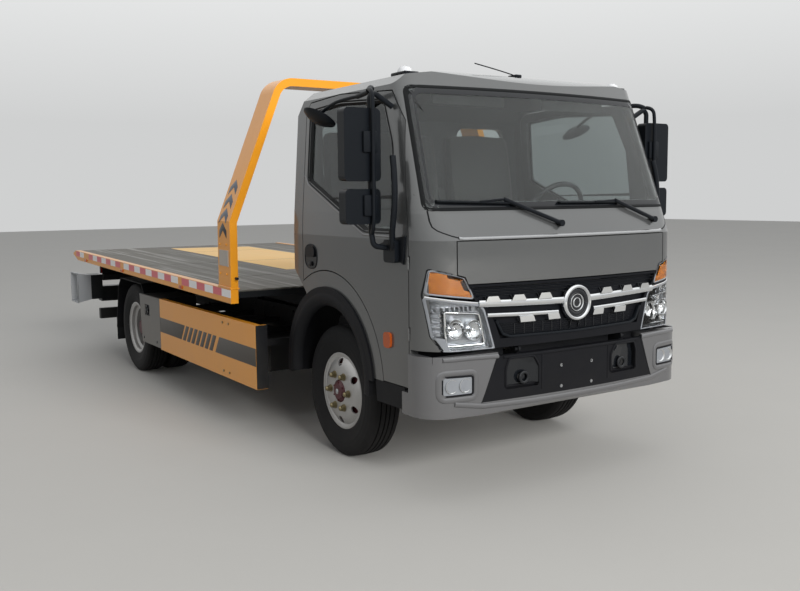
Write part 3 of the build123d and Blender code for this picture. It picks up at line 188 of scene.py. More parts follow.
def fit(name, body, material, *parts):
    """Joins the parts into one piece, gives it its finish and lets it move with its body."""
    begin()
    for part in parts:
        part.select_set(True)
    bpy.context.view_layer.objects.active = parts[0]
    if len(parts) > 1:
        bpy.ops.object.join()
    piece = parts[0]
    piece.name = name
    piece.data.name = name
    piece.data.materials.clear()
    piece.data.materials.append(material)
    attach(piece, body)
    return piece


# Pieces that follow the skin of the cab or of a panel

RAY_START = 3500          # outside the truck on every axis
RAY_MISS = 2.4            # metres along a line that meets nothing, from where the nearest skin is taken


def skin(*names):
    """Surface of some CAD nodes, to be met by straight lines."""
    corners, faces = [], []
    for name in names:
        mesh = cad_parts[name].data
        start = len(corners)
        corners += [vertex.co.copy() for vertex in mesh.vertices]
        faces += [[start + k for k in polygon.vertices] for polygon in mesh.polygons]
    return BVHTree.FromPolygons(corners, faces)


def meet(surface, axis, side, u, v, lift):
    """Where a line along the axis first meets the surface, lifted off it."""
    far = side * RAY_START
    if axis == "x":
        start, way = at(far, u, v), Vector((-side, 0, 0))
    elif axis == "y":
        start, way = at(u, far, v), Vector((0, -side, 0))
    else:
        start, way = at(u, v, far), Vector((0, 0, -side))
    hit = surface.ray_cast(start, way)[0]
    if hit is None:
        hit = surface.find_nearest(start + way * RAY_MISS)[0]
    return hit - way * (lift / 1000)


def shell(rows, closed_rows, closed_columns, caps):
    """Mesh over a grid of points."""
    begin()
    mesh = bmesh.new()
    grid = [[mesh.verts.new(point) for point in row] for row in rows]
    count, width = len(grid), len(grid[0])
    for i in range(count if closed_rows else count - 1):
        for k in range(width if closed_columns else width - 1):
            a, b = grid[i], grid[(i + 1) % count]
            mesh.faces.new((a[k], a[(k + 1) % width], b[(k + 1) % width], b[k]))
    if caps:
        mesh.faces.new(grid[0])
        mesh.faces.new(grid[-1])
    bmesh.ops.recalc_face_normals(mesh, faces=mesh.faces)
    data = bpy.data.meshes.new("skin piece")
    mesh.to_mesh(data)
    mesh.free()
    return settle(enter("skin piece", data), 0, 50)


def between(points, step=30, closed=False):
    """Points added along straight runs, so that a piece can follow a curved surface."""
    line = []
    count = len(points)
    for k in range(count if closed else count - 1):
        a, b = points[k], points[(k + 1) % count]
        parts = max(1, int(math.dist(a, b) / step))
        line += [(a[0] + (b[0] - a[0]) * i / parts, a[1] + (b[1] - a[1]) * i / parts) for i in range(parts)]
    return line if closed else line + [points[-1]]


def rounded(points, radius, parts=4):
    """Closed outline with its corners rounded."""
    line = []
    for k, corner in enumerate(points):
        before, after = Vector(points[k - 1]), Vector(points[(k + 1) % len(points)])
        corner = Vector(corner)
        a = corner + (before - corner).normalized() * min(radius, (before - corner).length * 0.45)
        b = corner + (after - corner).normalized() * min(radius, (after - corner).length * 0.45)
        for i in range(parts + 1):
            t = i / parts
            line.append(tuple((1 - t) ** 2 * a + 2 * t * (1 - t) * corner + t ** 2 * b))
    return line


FLAT = ((-1, -2), (-1, 0.5), (-0.8, 1), (0.8, 1), (1, 0.5), (1, -2))
CROWN = ((-1, -2), (-1, 0.3), (-0.7, 0.8), (-0.25, 1), (0.25, 1), (0.7, 0.8), (1, 0.3), (1, -2))
RIDGE = ((-1, -2), (-1, 0.2), (-0.1, 1), (0.25, 1), (1, 0.2), (1, -2))


def moulding(surface, path, width, rise, axis, side, form=FLAT, closed=False, step=30):
    """Strip laid along a path on a surface. Its form is in half widths and shares of the rise."""
    line = between(path, step, closed)
    count = len(line)
    rows = []
    for k, point in enumerate(line):
        before = line[k - 1] if (closed or k) else point
        after = line[(k + 1) % count] if (closed or k < count - 1) else point
        way = (Vector(after) - Vector(before)).normalized()
        out = Vector((-way.y, way.x)) * width / 2
        places = [(point[0] + out.x * t, point[1] + out.y * t, h * rise if h > 0 else h) for t, h in form]
        rows.append([meet(surface, axis, side, *place) for place in places])
    return shell(rows, closed, True, not closed)


def pad(surface, outline, low, high, axis, side, step=30, shrink=0.0):
    """Filled area on a surface between two lifts; shrink draws its top in."""
    line = between(outline, step, True)
    centre = sum((Vector(p) for p in line), Vector((0, 0))) / len(line)
    inner = [tuple(Vector(p) + (centre - Vector(p)) * shrink) for p in line]
    rows = [[meet(surface, axis, side, u, v, low) for u, v in line],
            [meet(surface, axis, side, u, v, high) for u, v in line],
            [meet(surface, axis, side, u, v, high) for u, v in inner]]
    for share in (0.35, 0.7, 0.93):
        nearer = [Vector(p) + (centre - Vector(p)) * share for p in inner]
        rows.append([meet(surface, axis, side, *p, high) for p in nearer])
    return shell(rows, False, True, True)


def strip(surface, path, width, rise, form=FLAT, closed=False, step=30):
    """Moulding on a surface that faces forward."""
    return moulding(surface, path, width, rise, "x", 1, form, closed, step)


def patch(surface, outline, low, high, step=30, shrink=0.0):
    """Pad on a surface that faces forward."""
    return pad(surface, outline, low, high, "x", 1, step, shrink)


def flip(s, points):
    """Outline of one side, as Y and height, for the side s."""
    return [(s * y, z) for y, z in points]


def oval(y, z, across, up, count):
    """Outline round a point of the front."""
    turns = [math.radians(360 / count * k) for k in range(count)]
    return [(y + across * math.cos(a), z + up * math.sin(a)) for a in turns]


def millimetres(point):
    """Station, Y and height of a point in metres."""
    return point.x * 1000 - FRONT_AXLE, point.y * 1000, point.z * 1000


# Finishes

def linear(code):
    """Linear colour of an sRGB hex value."""
    parts = [int(code[k:k + 2], 16) / 255 for k in (1, 3, 5)]
    return (*[p / 12.92 if p <= 0.04045 else ((p + 0.055) / 1.055) ** 2.4 for p in parts], 1)


def node(tree, kind, settings=None, links=None):
    """Adds one shader node with its settings and the links into it."""
    new = tree.nodes.new("ShaderNode" + kind)
    for key, value in (settings or {}).items():
        if isinstance(key, str) and key not in new.inputs:
            setattr(new, key, value)
        else:
            new.inputs[key].default_value = value
    for key, source in (links or {}).items():
        tree.links.new(source, new.inputs[key])
    return new


def finish(name, tones, spread, rough, grain, relief, **sockets):
    """Surface that drifts between two tones; spread, grain and relief are in millimetres."""
    material = bpy.data.materials.new(name)
    material.use_nodes = True
    tree = material.node_tree
    shader = tree.nodes["Principled BSDF"]
    place = node(tree, "TexCoord")
    drift = node(tree, "TexNoise", {"Scale": 1000 / spread, "Detail": 5.0, "Roughness": 0.6},
                 {"Vector": place.outputs["Object"]})
    tone = node(tree, "Mix", {"data_type": "RGBA", 6: linear(tones[0]), 7: linear(tones[1])},
                {0: drift.outputs["Fac"]})
    fine = node(tree, "TexNoise", {"Scale": 1000 / grain, "Detail": 2.0}, {"Vector": place.outputs["Object"]})
    sheen = node(tree, "MapRange", {"To Min": rough[0], "To Max": rough[1]}, {"Value": drift.outputs["Fac"]})
    bump = node(tree, "Bump", {"Strength": 0.6, "Distance": relief / 1000}, {"Height": fine.outputs["Fac"]})
    tree.links.new(tone.outputs[2], shader.inputs["Base Color"])
    tree.links.new(sheen.outputs["Result"], shader.inputs["Roughness"])
    tree.links.new(bump.outputs["Normal"], shader.inputs["Normal"])
    for key, value in sockets.items():
        shader.inputs[key.replace("_", " ")].default_value = value
    return material


def over(material, colour, factor):
    """Lays a second colour over the tone of a finish where factor is 1."""
    tree = material.node_tree
    shader = tree.nodes["Principled BSDF"]
    below = shader.inputs["Base Color"].links[0].from_socket
    mixed = node(tree, "Mix", {"data_type": "RGBA", 7: linear(colour)}, {0: factor, 6: below})
    tree.links.new(mixed.outputs[2], shader.inputs["Base Color"])


def dusted(material, colour, amount, low=0.2, high=0.9):
    """Road dust that settles low on the truck and in uneven patches."""
    tree = material.node_tree
    place = node(tree, "TexCoord")
    height = node(tree, "SeparateXYZ", {}, {0: place.outputs["Object"]})
    fade = node(tree, "MapRange", {"From Min": high, "From Max": low, "To Min": 0.0, "To Max": amount},
                {"Value": height.outputs["Z"]})
    cloud = node(tree, "TexNoise", {"Scale": 9.0, "Detail": 6.0, "Roughness": 0.7},
                 {"Vector": place.outputs["Object"]})
    share = node(tree, "Math", {"operation": "MULTIPLY"},
                 {0: fade.outputs["Result"], 1: cloud.outputs["Fac"]})
    over(material, colour, share.outputs[0])
    return material


# Cab enamel: metallic basecoat sprayed and lacquered. The flakes lift the colour where light falls square on
# it, and the clear coat gives a second sharp gloss. Real flakes are 0.05 mm, drawn 1.5 mm so that they show.
cab_enamel = dusted(finish("metallic_basecoat_lacquered", ("#545555", "#5c5d5d"), 900, (0.28, 0.34), 1.5,
                           0.02, Metallic=0.55, Coat_Weight=0.8, Coat_Roughness=0.04),
                    "#5a554e", 0.35, 0.4, 1.2)
bumper_enamel = dusted(finish("bumper_silver_enamel", ("#646466", "#6d6d6e"), 700, (0.32, 0.40), 1.5, 0.02,
                              Metallic=0.6, Coat_Weight=0.6, Coat_Roughness=0.06), "#6a645b", 0.2, 0.3, 0.8)
# Pressed ledges: the same basecoat, polished and painted much lighter, a painted highlight where the ledge
# catches the sky.
ledge_highlight_enamel = finish("metallic_basecoat_ledge_painted_highlight", ("#8f9092", "#9b9c9d"), 900, (0.16, 0.22), 1.5, 0.01,
                      Metallic=0.8, Coat_Weight=1.0, Coat_Roughness=0.03)
# Fabricated steel painted chrome yellow, a thick two-pack gloss with a faint orange peel of about 6 mm.
yellow_enamel = dusted(finish("yellow_two_pack_enamel", ("#d58a1a", "#dd9424"), 500, (0.30, 0.42), 6, 0.08,
                              Coat_Weight=0.3, Coat_Roughness=0.15), "#8d7c60", 0.2, 0.3, 1.0)
deck_enamel = finish("grey_deck_enamel_worn", ("#585651", "#69665f"), 350, (0.6, 0.75), 5, 0.2,
                     Specular_IOR_Level=0.25)
deck_yellow = finish("yellow_deck_enamel_worn", ("#f2c06f", "#f6ca80"), 300, (0.45, 0.6), 5, 0.15)
stripe_grey = finish("dark_grey_stripe_vinyl", ("#37322c", "#403b35"), 250, (0.42, 0.5), 3, 0.03)
locker_enamel = dusted(finish("locker_grey_enamel", ("#595754", "#625f5b"), 300, (0.4, 0.5), 6, 0.06),
                       "#8d8474", 0.3, 0.2, 0.8)
# Chassis black: satin alkyd over rolled sections, dulled by road film.
chassis_black = dusted(finish("chassis_black_satin", ("#0d0f12", "#141518"), 220, (0.45, 0.62), 8, 0.15,
                              Specular_IOR_Level=0.25), "#5c564c", 0.2, 0.15, 0.9)
grained_black = dusted(finish("grained_black_polypropylene", ("#0a0b0e", "#101115"), 260, (0.48, 0.6), 2.5,
                              0.12, Specular_IOR_Level=0.15), "#5d574e", 0.08, 0.2, 1.0)
gloss_black = finish("gloss_black_abs", ("#0d0f12", "#121417"), 260, (0.12, 0.2), 3, 0.01)
mirror_black = finish("moulded_black_abs_satin", ("#0a0d11", "#0f1216"), 200, (0.38, 0.5), 2, 0.06,
                      Specular_IOR_Level=0.2)
seal_rubber = finish("epdm_seal_rubber", ("#0c0d0e", "#111213"), 120, (0.6, 0.75), 2, 0.05,
                     Specular_IOR_Level=0.25)
# Tyre rubber: matte, browned by road dust.
tyre_rubber = dusted(finish("tyre_rubber_moulded", ("#0d0e10", "#141415"), 90, (0.7, 0.85), 3, 0.15,
                            Specular_IOR_Level=0.2), "#5b5550", 0.14, 0.0, 0.75)
wheel_silver = dusted(finish("wheel_silver_enamel", ("#a9a8a6", "#b7b6b4"), 160, (0.32, 0.45), 3, 0.05,
                             Metallic=0.55), "#5a5149", 0.5, 0.1, 0.6)
hub_red = finish("dark_red_oxide_primer", ("#3a0f16", "#4c151c"), 60, (0.4, 0.6), 3, 0.15)
nut_brass = finish("zinc_yellow_passivated_nut", ("#766c52", "#8c8264"), 30, (0.28, 0.42), 2, 0.05,
                   Metallic=0.9)
zinc_steel = finish("zinc_plated_steel", ("#9a9c9e", "#b3b4b4"), 60, (0.3, 0.45), 2, 0.04, Metallic=0.9)
bright_chrome = finish("bright_chrome_on_abs", ("#d9dbdd", "#e6e7e8"), 200, (0.05, 0.1), 4, 0.005,
                       Metallic=1.0)
reflector_chrome = finish("vapour_aluminium_reflector", ("#d0d2d4", "#e2e3e4"), 25, (0.08, 0.16), 9, 0.9,
                          Metallic=1.0)
lamp_housing = finish("lamp_housing_grey", ("#82858a", "#94979b"), 40, (0.25, 0.35), 6, 0.5, Metallic=0.5)
cast_iron = dusted(finish("sand_cast_iron", ("#34322f", "#413d39"), 120, (0.6, 0.75), 4, 0.5, Metallic=0.3),
                   "#6a6052", 0.5, 0.1, 0.9)
spring_steel = dusted(finish("spring_steel_oxide", ("#1c1c1d", "#29282a"), 120, (0.5, 0.65), 5, 0.2,
                             Metallic=0.3), "#5c564c", 0.45, 0.1, 0.9)
tank_sheet = dusted(finish("aluminised_tank_sheet", ("#7f8183", "#939596"), 180, (0.35, 0.5), 3, 0.05,
                           Metallic=0.8), "#5c564c", 0.4, 0.2, 0.7)
lift_zinc = finish("galvanised_cup_steel", ("#8a8d90", "#b9bbbd"), 45, (0.3, 0.5), 6, 0.1, Metallic=0.75)
rod_chrome = finish("hard_chrome_rod", ("#c6c8ca", "#d6d8d9"), 100, (0.08, 0.14), 3, 0.005, Metallic=1.0)
amber_lens = finish("amber_acrylic_lens", ("#c06c18", "#d07f26"), 30, (0.08, 0.14), 5, 0.5,
                    Transmission_Weight=0.35, IOR=1.49, Coat_Weight=0.6)
repeater_lens = finish("deep_amber_acrylic", ("#b04a14", "#c05a1c"), 30, (0.12, 0.2), 5, 0.4,
                       Transmission_Weight=0.2, IOR=1.49)
red_lens = finish("red_acrylic_lens", ("#9c1210", "#b01814"), 30, (0.1, 0.16), 6, 0.5,
                  Transmission_Weight=0.3, IOR=1.49)
clear_lens = finish("clear_polycarbonate_lens", ("#f4f6f7", "#ffffff"), 200, (0.02, 0.04), 12, 0.01,
                    Transmission_Weight=1.0, IOR=1.3)
milk_lens = finish("white_acrylic_dome", ("#d8d9da", "#e6e7e8"), 60, (0.12, 0.2), 4, 0.05,
                   Transmission_Weight=0.3, IOR=1.49)
# Laminated windscreen with a faint green-grey tint; toughened side glass.
window_glass = finish("tinted_laminated_glass", ("#c7cecd", "#cdd3d2"), 900, (0.0, 0.01), 60, 0.0,
                      Transmission_Weight=1.0, IOR=1.45)
side_glass = finish("tinted_toughened_glass", ("#8f9797", "#959d9d"), 900, (0.0, 0.01), 60, 0.0,
                    Transmission_Weight=1.0, IOR=1.45)
mirror_glass = finish("silvered_mirror_glass", ("#c9cdd0", "#d2d5d7"), 300, (0.02, 0.03), 9, 0.001,
                      Metallic=1.0)
tape_white = finish("white_retroreflective_tape", ("#d9d6d4", "#e6e4e2"), 40, (0.3, 0.4), 4, 0.05)
tape_red = finish("red_retroreflective_tape", ("#c4555c", "#d0636a"), 40, (0.3, 0.4), 4, 0.05)
chevron_black = finish("black_vinyl_film", ("#1a1a1c", "#242528"), 80, (0.3, 0.4), 3, 0.02)
chevron_blue = finish("slate_blue_vinyl_film", ("#39404c", "#434a57"), 80, (0.3, 0.4), 3, 0.02)
plate_grey = finish("anodised_plate_blank", ("#a29a90", "#b3aba1"), 60, (0.35, 0.5), 3, 0.03, Metallic=0.4)
dash_plastic = finish("soft_grained_dashboard_pvc", ("#2f3033", "#393a3d"), 200, (0.5, 0.6), 2, 0.1)
lining = finish("grey_moulded_cab_lining", ("#4c4c4c", "#565655"), 300, (0.6, 0.7), 2, 0.1)
cable_black = finish("black_pvc_hose", ("#111213", "#191a1b"), 60, (0.4, 0.5), 3, 0.05)
wire_rope = finish("galvanised_wire_rope", ("#6f7274", "#909294"), 8, (0.35, 0.5), 2, 0.4, Metallic=0.8)


YARN_SCALE = 1000 / 6 / 6.283


def seat_cloth():
    """Woven polyester seat cloth: matte, its 2 mm yarn drawn 6 mm, with a soft edge sheen."""
    material = finish("woven_polyester_seat_cloth", ("#4d4b4a", "#5c5a58"), 90, (0.85, 0.95), 6, 0.2,
                      Sheen_Weight=0.4)
    tree = material.node_tree
    place = node(tree, "TexCoord")
    yarn = [node(tree, "TexWave", {"bands_direction": way, "Scale": YARN_SCALE},
                 {"Vector": place.outputs["Object"]}) for way in ("Y", "Z")]
    weave = node(tree, "Math", {"operation": "MULTIPLY"},
                 {0: yarn[0].outputs["Fac"], 1: yarn[1].outputs["Fac"]})
    bump = node(tree, "Bump", {"Strength": 0.5, "Distance": 0.0008}, {"Height": weave.outputs[0]})
    tree.links.new(bump.outputs["Normal"], tree.nodes["Principled BSDF"].inputs["Normal"])
    return material


def worn_deck(material, scratch):
    """Long rubbed streaks along the deck, where cars are winched on."""
    tree = material.node_tree
    place = node(tree, "TexCoord")
    stretch = node(tree, "Mapping", {"Scale": (0.35, 9.0, 1.0)}, {"Vector": place.outputs["Object"]})
    streak = node(tree, "TexNoise", {"Scale": 1.6, "Detail": 6.0, "Roughness": 0.65},
                  {"Vector": stretch.outputs["Vector"]})
    mask = node(tree, "MapRange", {"From Min": 0.5, "From Max": 0.72, "To Max": 0.6},
                {"Value": streak.outputs["Fac"]})
    over(material, scratch, mask.outputs["Result"])


def tinted_where(material, colour, way, limit, kind="LESS_THAN"):
    """Second colour on one side of a limit in metres, measured from the origin along a direction."""
    tree = material.node_tree
    place = node(tree, "TexCoord")
    reach = node(tree, "VectorMath", {"operation": "DOT_PRODUCT", 1: way}, {0: place.outputs["Object"]})
    size = node(tree, "Math", {"operation": "ABSOLUTE"}, {0: reach.outputs["Value"]})
    past = node(tree, "Math", {"operation": kind, 1: limit}, {0: size.outputs[0]})
    over(material, colour, past.outputs[0])


worn_deck(deck_enamel, "#b7b5b0")
worn_deck(deck_yellow, "#f4cd8a")
cloth = seat_cloth()
# The bed's runners and cross members, under the grey plate, are black.
DECK_PLATE_FOOT = 0.896   # metres
tinted_where(deck_enamel, "#17191b", (math.sin(BED_RAKE), 0, math.cos(BED_RAKE)),
             DECK_PLATE_FOOT + FRONT_AXLE / 1000 * math.sin(BED_RAKE))
# The wheel lift's cups are galvanised outside the black receivers.
cup_paint = finish("wheel_lift_black_and_zinc", ("#141618", "#1b1d1f"), 120, (0.35, 0.5), 6, 0.1,
                   Metallic=0.3)
tinted_where(cup_paint, "#a6a8aa", (0, 1, 0), 1.04, "GREATER_THAN")

NODE_FINISHES = (
    (chassis_black, "frame_rails", "frame_members", "frame_tail", "lift_ears", "battery_box", "tool_boxes",
     "underrun_bars", "tilt_frame", "winch", "tilt_barrels", "lift_boom"),
    (cast_iron, "front_axle", "rear_axle", "engine_block", "driveline"),
    (grained_black, "rear_mudguards", "bumper_insert", "grille", "wheel_flares", "cab_floor"),
    (yellow_enamel, "side_guards", "bed_rails", "bed_arch"),
    (lamp_housing, "fog_lamps", "headlamps"),
    (cab_enamel, "cab_shell", "front_lid"),
    (dash_plastic, "dashboard", "steering_wheel"),
    (spring_steel, "leaf_springs"),
    (tank_sheet, "fuel_tank"),
    (red_lens, "tail_lamps"),
    (bumper_enamel, "bumper"),
    (window_glass, "cab_windows"),
    (cloth, "seats"),
    (deck_enamel, "bed_deck"),
    (wire_rope, "winch_drum"),
    (rod_chrome, "tilt_rods"),
    (cup_paint, "lift_crossbar"),
)
SIDE_FINISHES = ((cast_iron, "knuckle_"), (tyre_rubber, "tyre_front_"), (tyre_rubber, "tyres_rear_"),
                 (wheel_silver, "rim_front_"), (wheel_silver, "rims_rear_"), (cab_enamel, "door_"),
                 (side_glass, "door_glass_"), (mirror_black, "mirrors_"), (locker_enamel, "tool_box_door_"))


def coat(material, names):
    """Gives CAD nodes their finish."""
    for name in names:
        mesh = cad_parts[name].data
        mesh.materials.clear()
        mesh.materials.append(material)


for material, *names in NODE_FINISHES:
    coat(material, names)
for material, name in SIDE_FINISHES:
    coat(material, [name + side_name for _, side_name in SIDES])


# Camera, light and floor

def camera():
    """Camera fitted to the photograph: place, azimuth, slope and roll."""
    data = bpy.data.cameras.new("camera")
    data.lens = 40.05
    data.sensor_width = 36
    eye = bpy.data.objects.new("camera", data)
    eye.matrix_world = (Matrix.Translation(at(4450.7, -3289.8, 1503.9))
                        @ Matrix.Rotation(math.radians(56.8259), 4, "Z")
                        @ Matrix.Rotation(math.radians(90 - 6.3377), 4, "X")
                        @ Matrix.Rotation(math.radians(-0.563), 4, "Z"))
    bpy.context.collection.objects.link(eye)
    bpy.context.scene.camera = eye


def lamp(name, place, aim, size, watts):
    """Soft lamp at a place, aimed at another."""
    data = bpy.data.lights.new(name, "AREA")
    data.shape = "RECTANGLE"
    data.size, data.size_y = size
    data.energy = watts
    light = bpy.data.objects.new(name, data)
    light.location = at(*place)
    light.rotation_euler = (at(*aim) - at(*place)).to_track_quat("-Z", "Y").to_euler()
    light.visible_glossy = False
    bpy.context.collection.objects.link(light)


def studio():
    """Pale floor and a pale surrounding that mirrors and glass also show, under soft lamps."""
    begin()
    bpy.ops.mesh.primitive_plane_add(size=80, location=(0, 0, 0))
    floor = bpy.context.object
    floor.name = "floor"
    concrete = finish("pale_concrete_floor", ("#b0aea9", "#b8b6b1"), 1500, (0.75, 0.9), 12, 0.3)
    floor.data.materials.append(concrete)
    world = bpy.data.worlds.new("pale surrounding")
    bpy.context.scene.world = world
    world.use_nodes = True
    tree = world.node_tree
    tree.nodes.clear()
    ray = node(tree, "LightPath")
    seen = node(tree, "Math", {"operation": "MAXIMUM"},
                {0: ray.outputs["Is Camera Ray"], 1: ray.outputs["Is Transmission Ray"]})
    either = node(tree, "Math", {"operation": "MAXIMUM"},
                  {0: seen.outputs[0], 1: ray.outputs["Is Glossy Ray"]})
    way = node(tree, "TexCoord")
    height = node(tree, "SeparateXYZ", {}, {0: way.outputs["Generated"]})
    climb = node(tree, "MapRange", {"From Min": 0.08, "From Max": 0.75, "To Min": 1.0, "To Max": 2.3},
                 {"Value": height.outputs["Z"]})
    light = node(tree, "Background", {"Color": linear("#eef1f6"), "Strength": 0.5})
    shown = node(tree, "Background", {"Color": linear("#cfd0d0")}, {"Strength": climb.outputs["Result"]})
    mixed = node(tree, "MixShader", {}, {0: either.outputs[0], 1: light.outputs[0], 2: shown.outputs[0]})
    node(tree, "OutputWorld", {}, {"Surface": mixed.outputs[0]})
    bpy.context.scene.view_settings.view_transform = "Standard"
    lamp("key", (22000, -600, 9000), (1000, 0, 1100), (13, 9), 7900)
    lamp("over", (-1500, 500, 6500), (-1500, 0, 900), (9, 6), 60)


camera()
studio()


# Wheels

TYRE_HALF = ((206, 62), (216, 67), (226, 78), (238, 84), (262, 92), (286, 96.5), (292, 98.5), (300, 99.5),
             (306, 99), (309, 98.6), (317, 100), (330, 98.5), (346, 95), (350, 95), (358, 90.5), (368, 85),
             (376, 78.5), (380, 72), (381.5, 60), (382, 50), (371, 48.5), (371, 42.5), (382.4, 41),
             (383.2, 17.5), (371.5, 16), (371.5, 10), (383.6, 8.5))


def road_tyre(centre, body, name):
    """Rib tyre: four grooves round the tread and raised rings on the sidewalls."""
    profile = list(TYRE_HALF) + [(r, -y) for r, y in reversed(TYRE_HALF)]
    return fit(name, body, tyre_rubber, lathe(centre, profile, 90))


def off_axle(centre, radius, degrees, out=0):
    """Place at a radius round an axle, at an angle from the top, and further out along it."""
    x, y, z = centre
    angle = math.radians(degrees)
    return x + radius * math.sin(angle), y + out, z + radius * math.cos(angle)


def wheel_nut(seat, side):
    """Nut with its washer face and a domed end."""
    x, y, z = seat
    parts = [drum((x, y + side * 9, z), "y", 19, 18, 2, 6), drum((x, y + side * 3, z), "y", 22, 6, 1, 24)]
    dome = ((15, 18), (15, 26), (12.5, 32), (7, 35.5), (0.1, 36.5), (0.1, 18))
    return parts + [lathe(seat, dome, 20, side)]


def pierced(piece, cutters):
    """Cuts holes of other pieces' shape through a piece."""
    for cutter in cutters:
        begin()
        piece.select_set(True)
        bpy.context.view_layer.objects.active = piece
        cut = piece.modifiers.new("hole", "BOOLEAN")
        cut.object = cutter
        cut.operation = "DIFFERENCE"
        bpy.ops.object.modifier_apply(modifier=cut.name)
        bpy.data.objects.remove(cutter)
    return piece


# Profiles of the wheels, as radius and offset outwards from the tyre's middle.
DISC = ((214, 66), (206, 70), (200, 66), (192, 70), (184, 78), (166, 88), (146, 94), (66, 95), (66, 88),
        (144, 87), (162, 81), (178, 71), (188, 60), (204, 60))
BARREL = ((222, -76), (222, -70), (204, -62), (202, -36), (178, -24), (178, 24), (202, 36), (204, 62),
          (222, 70), (222, 76), (214, 76), (194, 66), (192, 42), (168, 30), (168, -30), (192, -42),
          (194, -66), (214, -76))
BEAD = ((222.5, 72), (224, 78), (219, 79.5), (212, 77), (214, 72))
CAP = ((62, 60), (64, 92), (60, 98), (50, 101), (46, 107), (22, 110), (0.1, 110), (0.1, 60))
BEARING = ((26.5, -34), (60, -34), (60, 30), (78, 30), (78, 90), (0.1, 90), (0.1, 62), (26.5, 62))
REAR_HUB = ((74, -90), (76, -20), (72, 20), (66, 34), (56, 38), (54, 44), (0.1, 46), (0.1, -90))
FRONT_WHEEL_Y = 712
REAR_OUTER_Y = 905
REAR_INNER_Y = 680
FRONT_STUDS = 104         # radii of the nuts' circles
REAR_STUDS = 111.1
REAR_NUT_SEAT = 806       # Y of the face under the rear nuts


def front_wheel(s, name):
    """Tyre over a disc that bulges out to the nuts, with six hand holes that show the red drum."""
    centre = (0, s * FRONT_WHEEL_Y, AXLE_HEIGHT)
    body = "wheel_front_" + name
    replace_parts(road_tyre(centre, body, "front_tyre_" + name), "tyre_front_" + name)
    nuts, holes = [], []
    for angle in range(0, 360, 60):
        nuts += wheel_nut(off_axle(centre, FRONT_STUDS, angle + 30, s * 94), s)
        holes.append(drum(off_axle(centre, 170, angle, s * 80), "y", 22, 60, 0, 24))
    disc = pierced(lathe(centre, DISC, 72, s), holes)
    settle(disc, 0, 30)
    fit("front_disc_" + name, body, wheel_silver, disc, lathe(centre, BARREL, 72, s))
    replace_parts(disc, "rim_front_" + name)
    fit("front_nuts_" + name, body, nut_brass, *nuts)
    cap = lathe(centre, CAP, 40, s)
    drum_face = lathe(centre, ((186, 40), (186, 56), (180, 60), (80, 60), (80, 40)), 48, s)
    bolts = [drum(off_axle(centre, 52, angle, s * 103), "y", 6, 10, 1, 6) for angle in range(0, 360, 60)]
    # Small zinc dome at the hub's middle; its bright silver is also a painted highlight there.
    hub_highlight_spot = lathe(centre, ((16, 108), (16, 113), (10, 116), (0.1, 117), (0.1, 108)), 24, s)
    fit("front_hub_painted_highlight_" + name, body, zinc_steel, hub_highlight_spot)
    bearing = lathe(centre, BEARING, 40, s)
    fit("front_hub_" + name, body, hub_red, cap, drum_face, bearing, *bolts)
    stem = ((168, 40), (160, 60), (158, 88))
    valve = tube([off_axle(centre, radius, 0, s * out) for radius, out in stem], 4)
    fit("front_rim_edge_" + name, body, wheel_silver, lathe(centre, BEAD, 64, s), valve)


def rear_wheels(s, name):
    """Twin tyres with the red hub and its nuts deep in the outer rim."""
    body = "wheel_rear_" + name
    centre = (-WHEELBASE, s * REAR_OUTER_Y, AXLE_HEIGHT)
    outer = road_tyre(centre, body, "rear_outer_tyre_" + name)
    road_tyre((-WHEELBASE, s * REAR_INNER_Y, AXLE_HEIGHT), body, "rear_inner_tyre_" + name)
    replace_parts(outer, "tyres_rear_" + name)
    nuts = []
    for angle in range(0, 360, 60):
        nuts += wheel_nut(off_axle(centre, REAR_STUDS, angle, s * (REAR_NUT_SEAT - REAR_OUTER_Y)), s)
    fit("rear_nuts_" + name, body, nut_brass, *nuts)
    hub = lathe(centre, REAR_HUB, 40, s)
    bolts = [drum(off_axle(centre, 60, angle, s * 36), "y", 6, 12, 1, 6) for angle in range(0, 360, 45)]
    fit("rear_hub_" + name, body, hub_red, hub, *bolts)
    fit("rear_rim_edge_" + name, body, wheel_silver, lathe(centre, BEAD, 64, s))


for s, side_name in SIDES:
    front_wheel(s, side_name)
    rear_wheels(s, side_name)


# Bed

RAIL_FACE = 1125          # Y of the bed rail's outer face
ARCH_FACE = 1123
ARCH_BEND = 1345          # height from which the arch's post leans inwards
ARCH_LEAN = 21.3
TAPE_LENGTH = 150


def tape_run(s, first, colours, blocks):
    """Blocks of tape along a bed rail, from the front backwards."""
    for k, colour in enumerate(colours):
        x = first - TAPE_LENGTH * k
        y = s * RAIL_FACE
        piece = block((x - TAPE_LENGTH + 1, x), (y - s * 1, y + s * 0.8), (861, 911), 0.4, 1)
        blocks[colour].append(rake(piece))


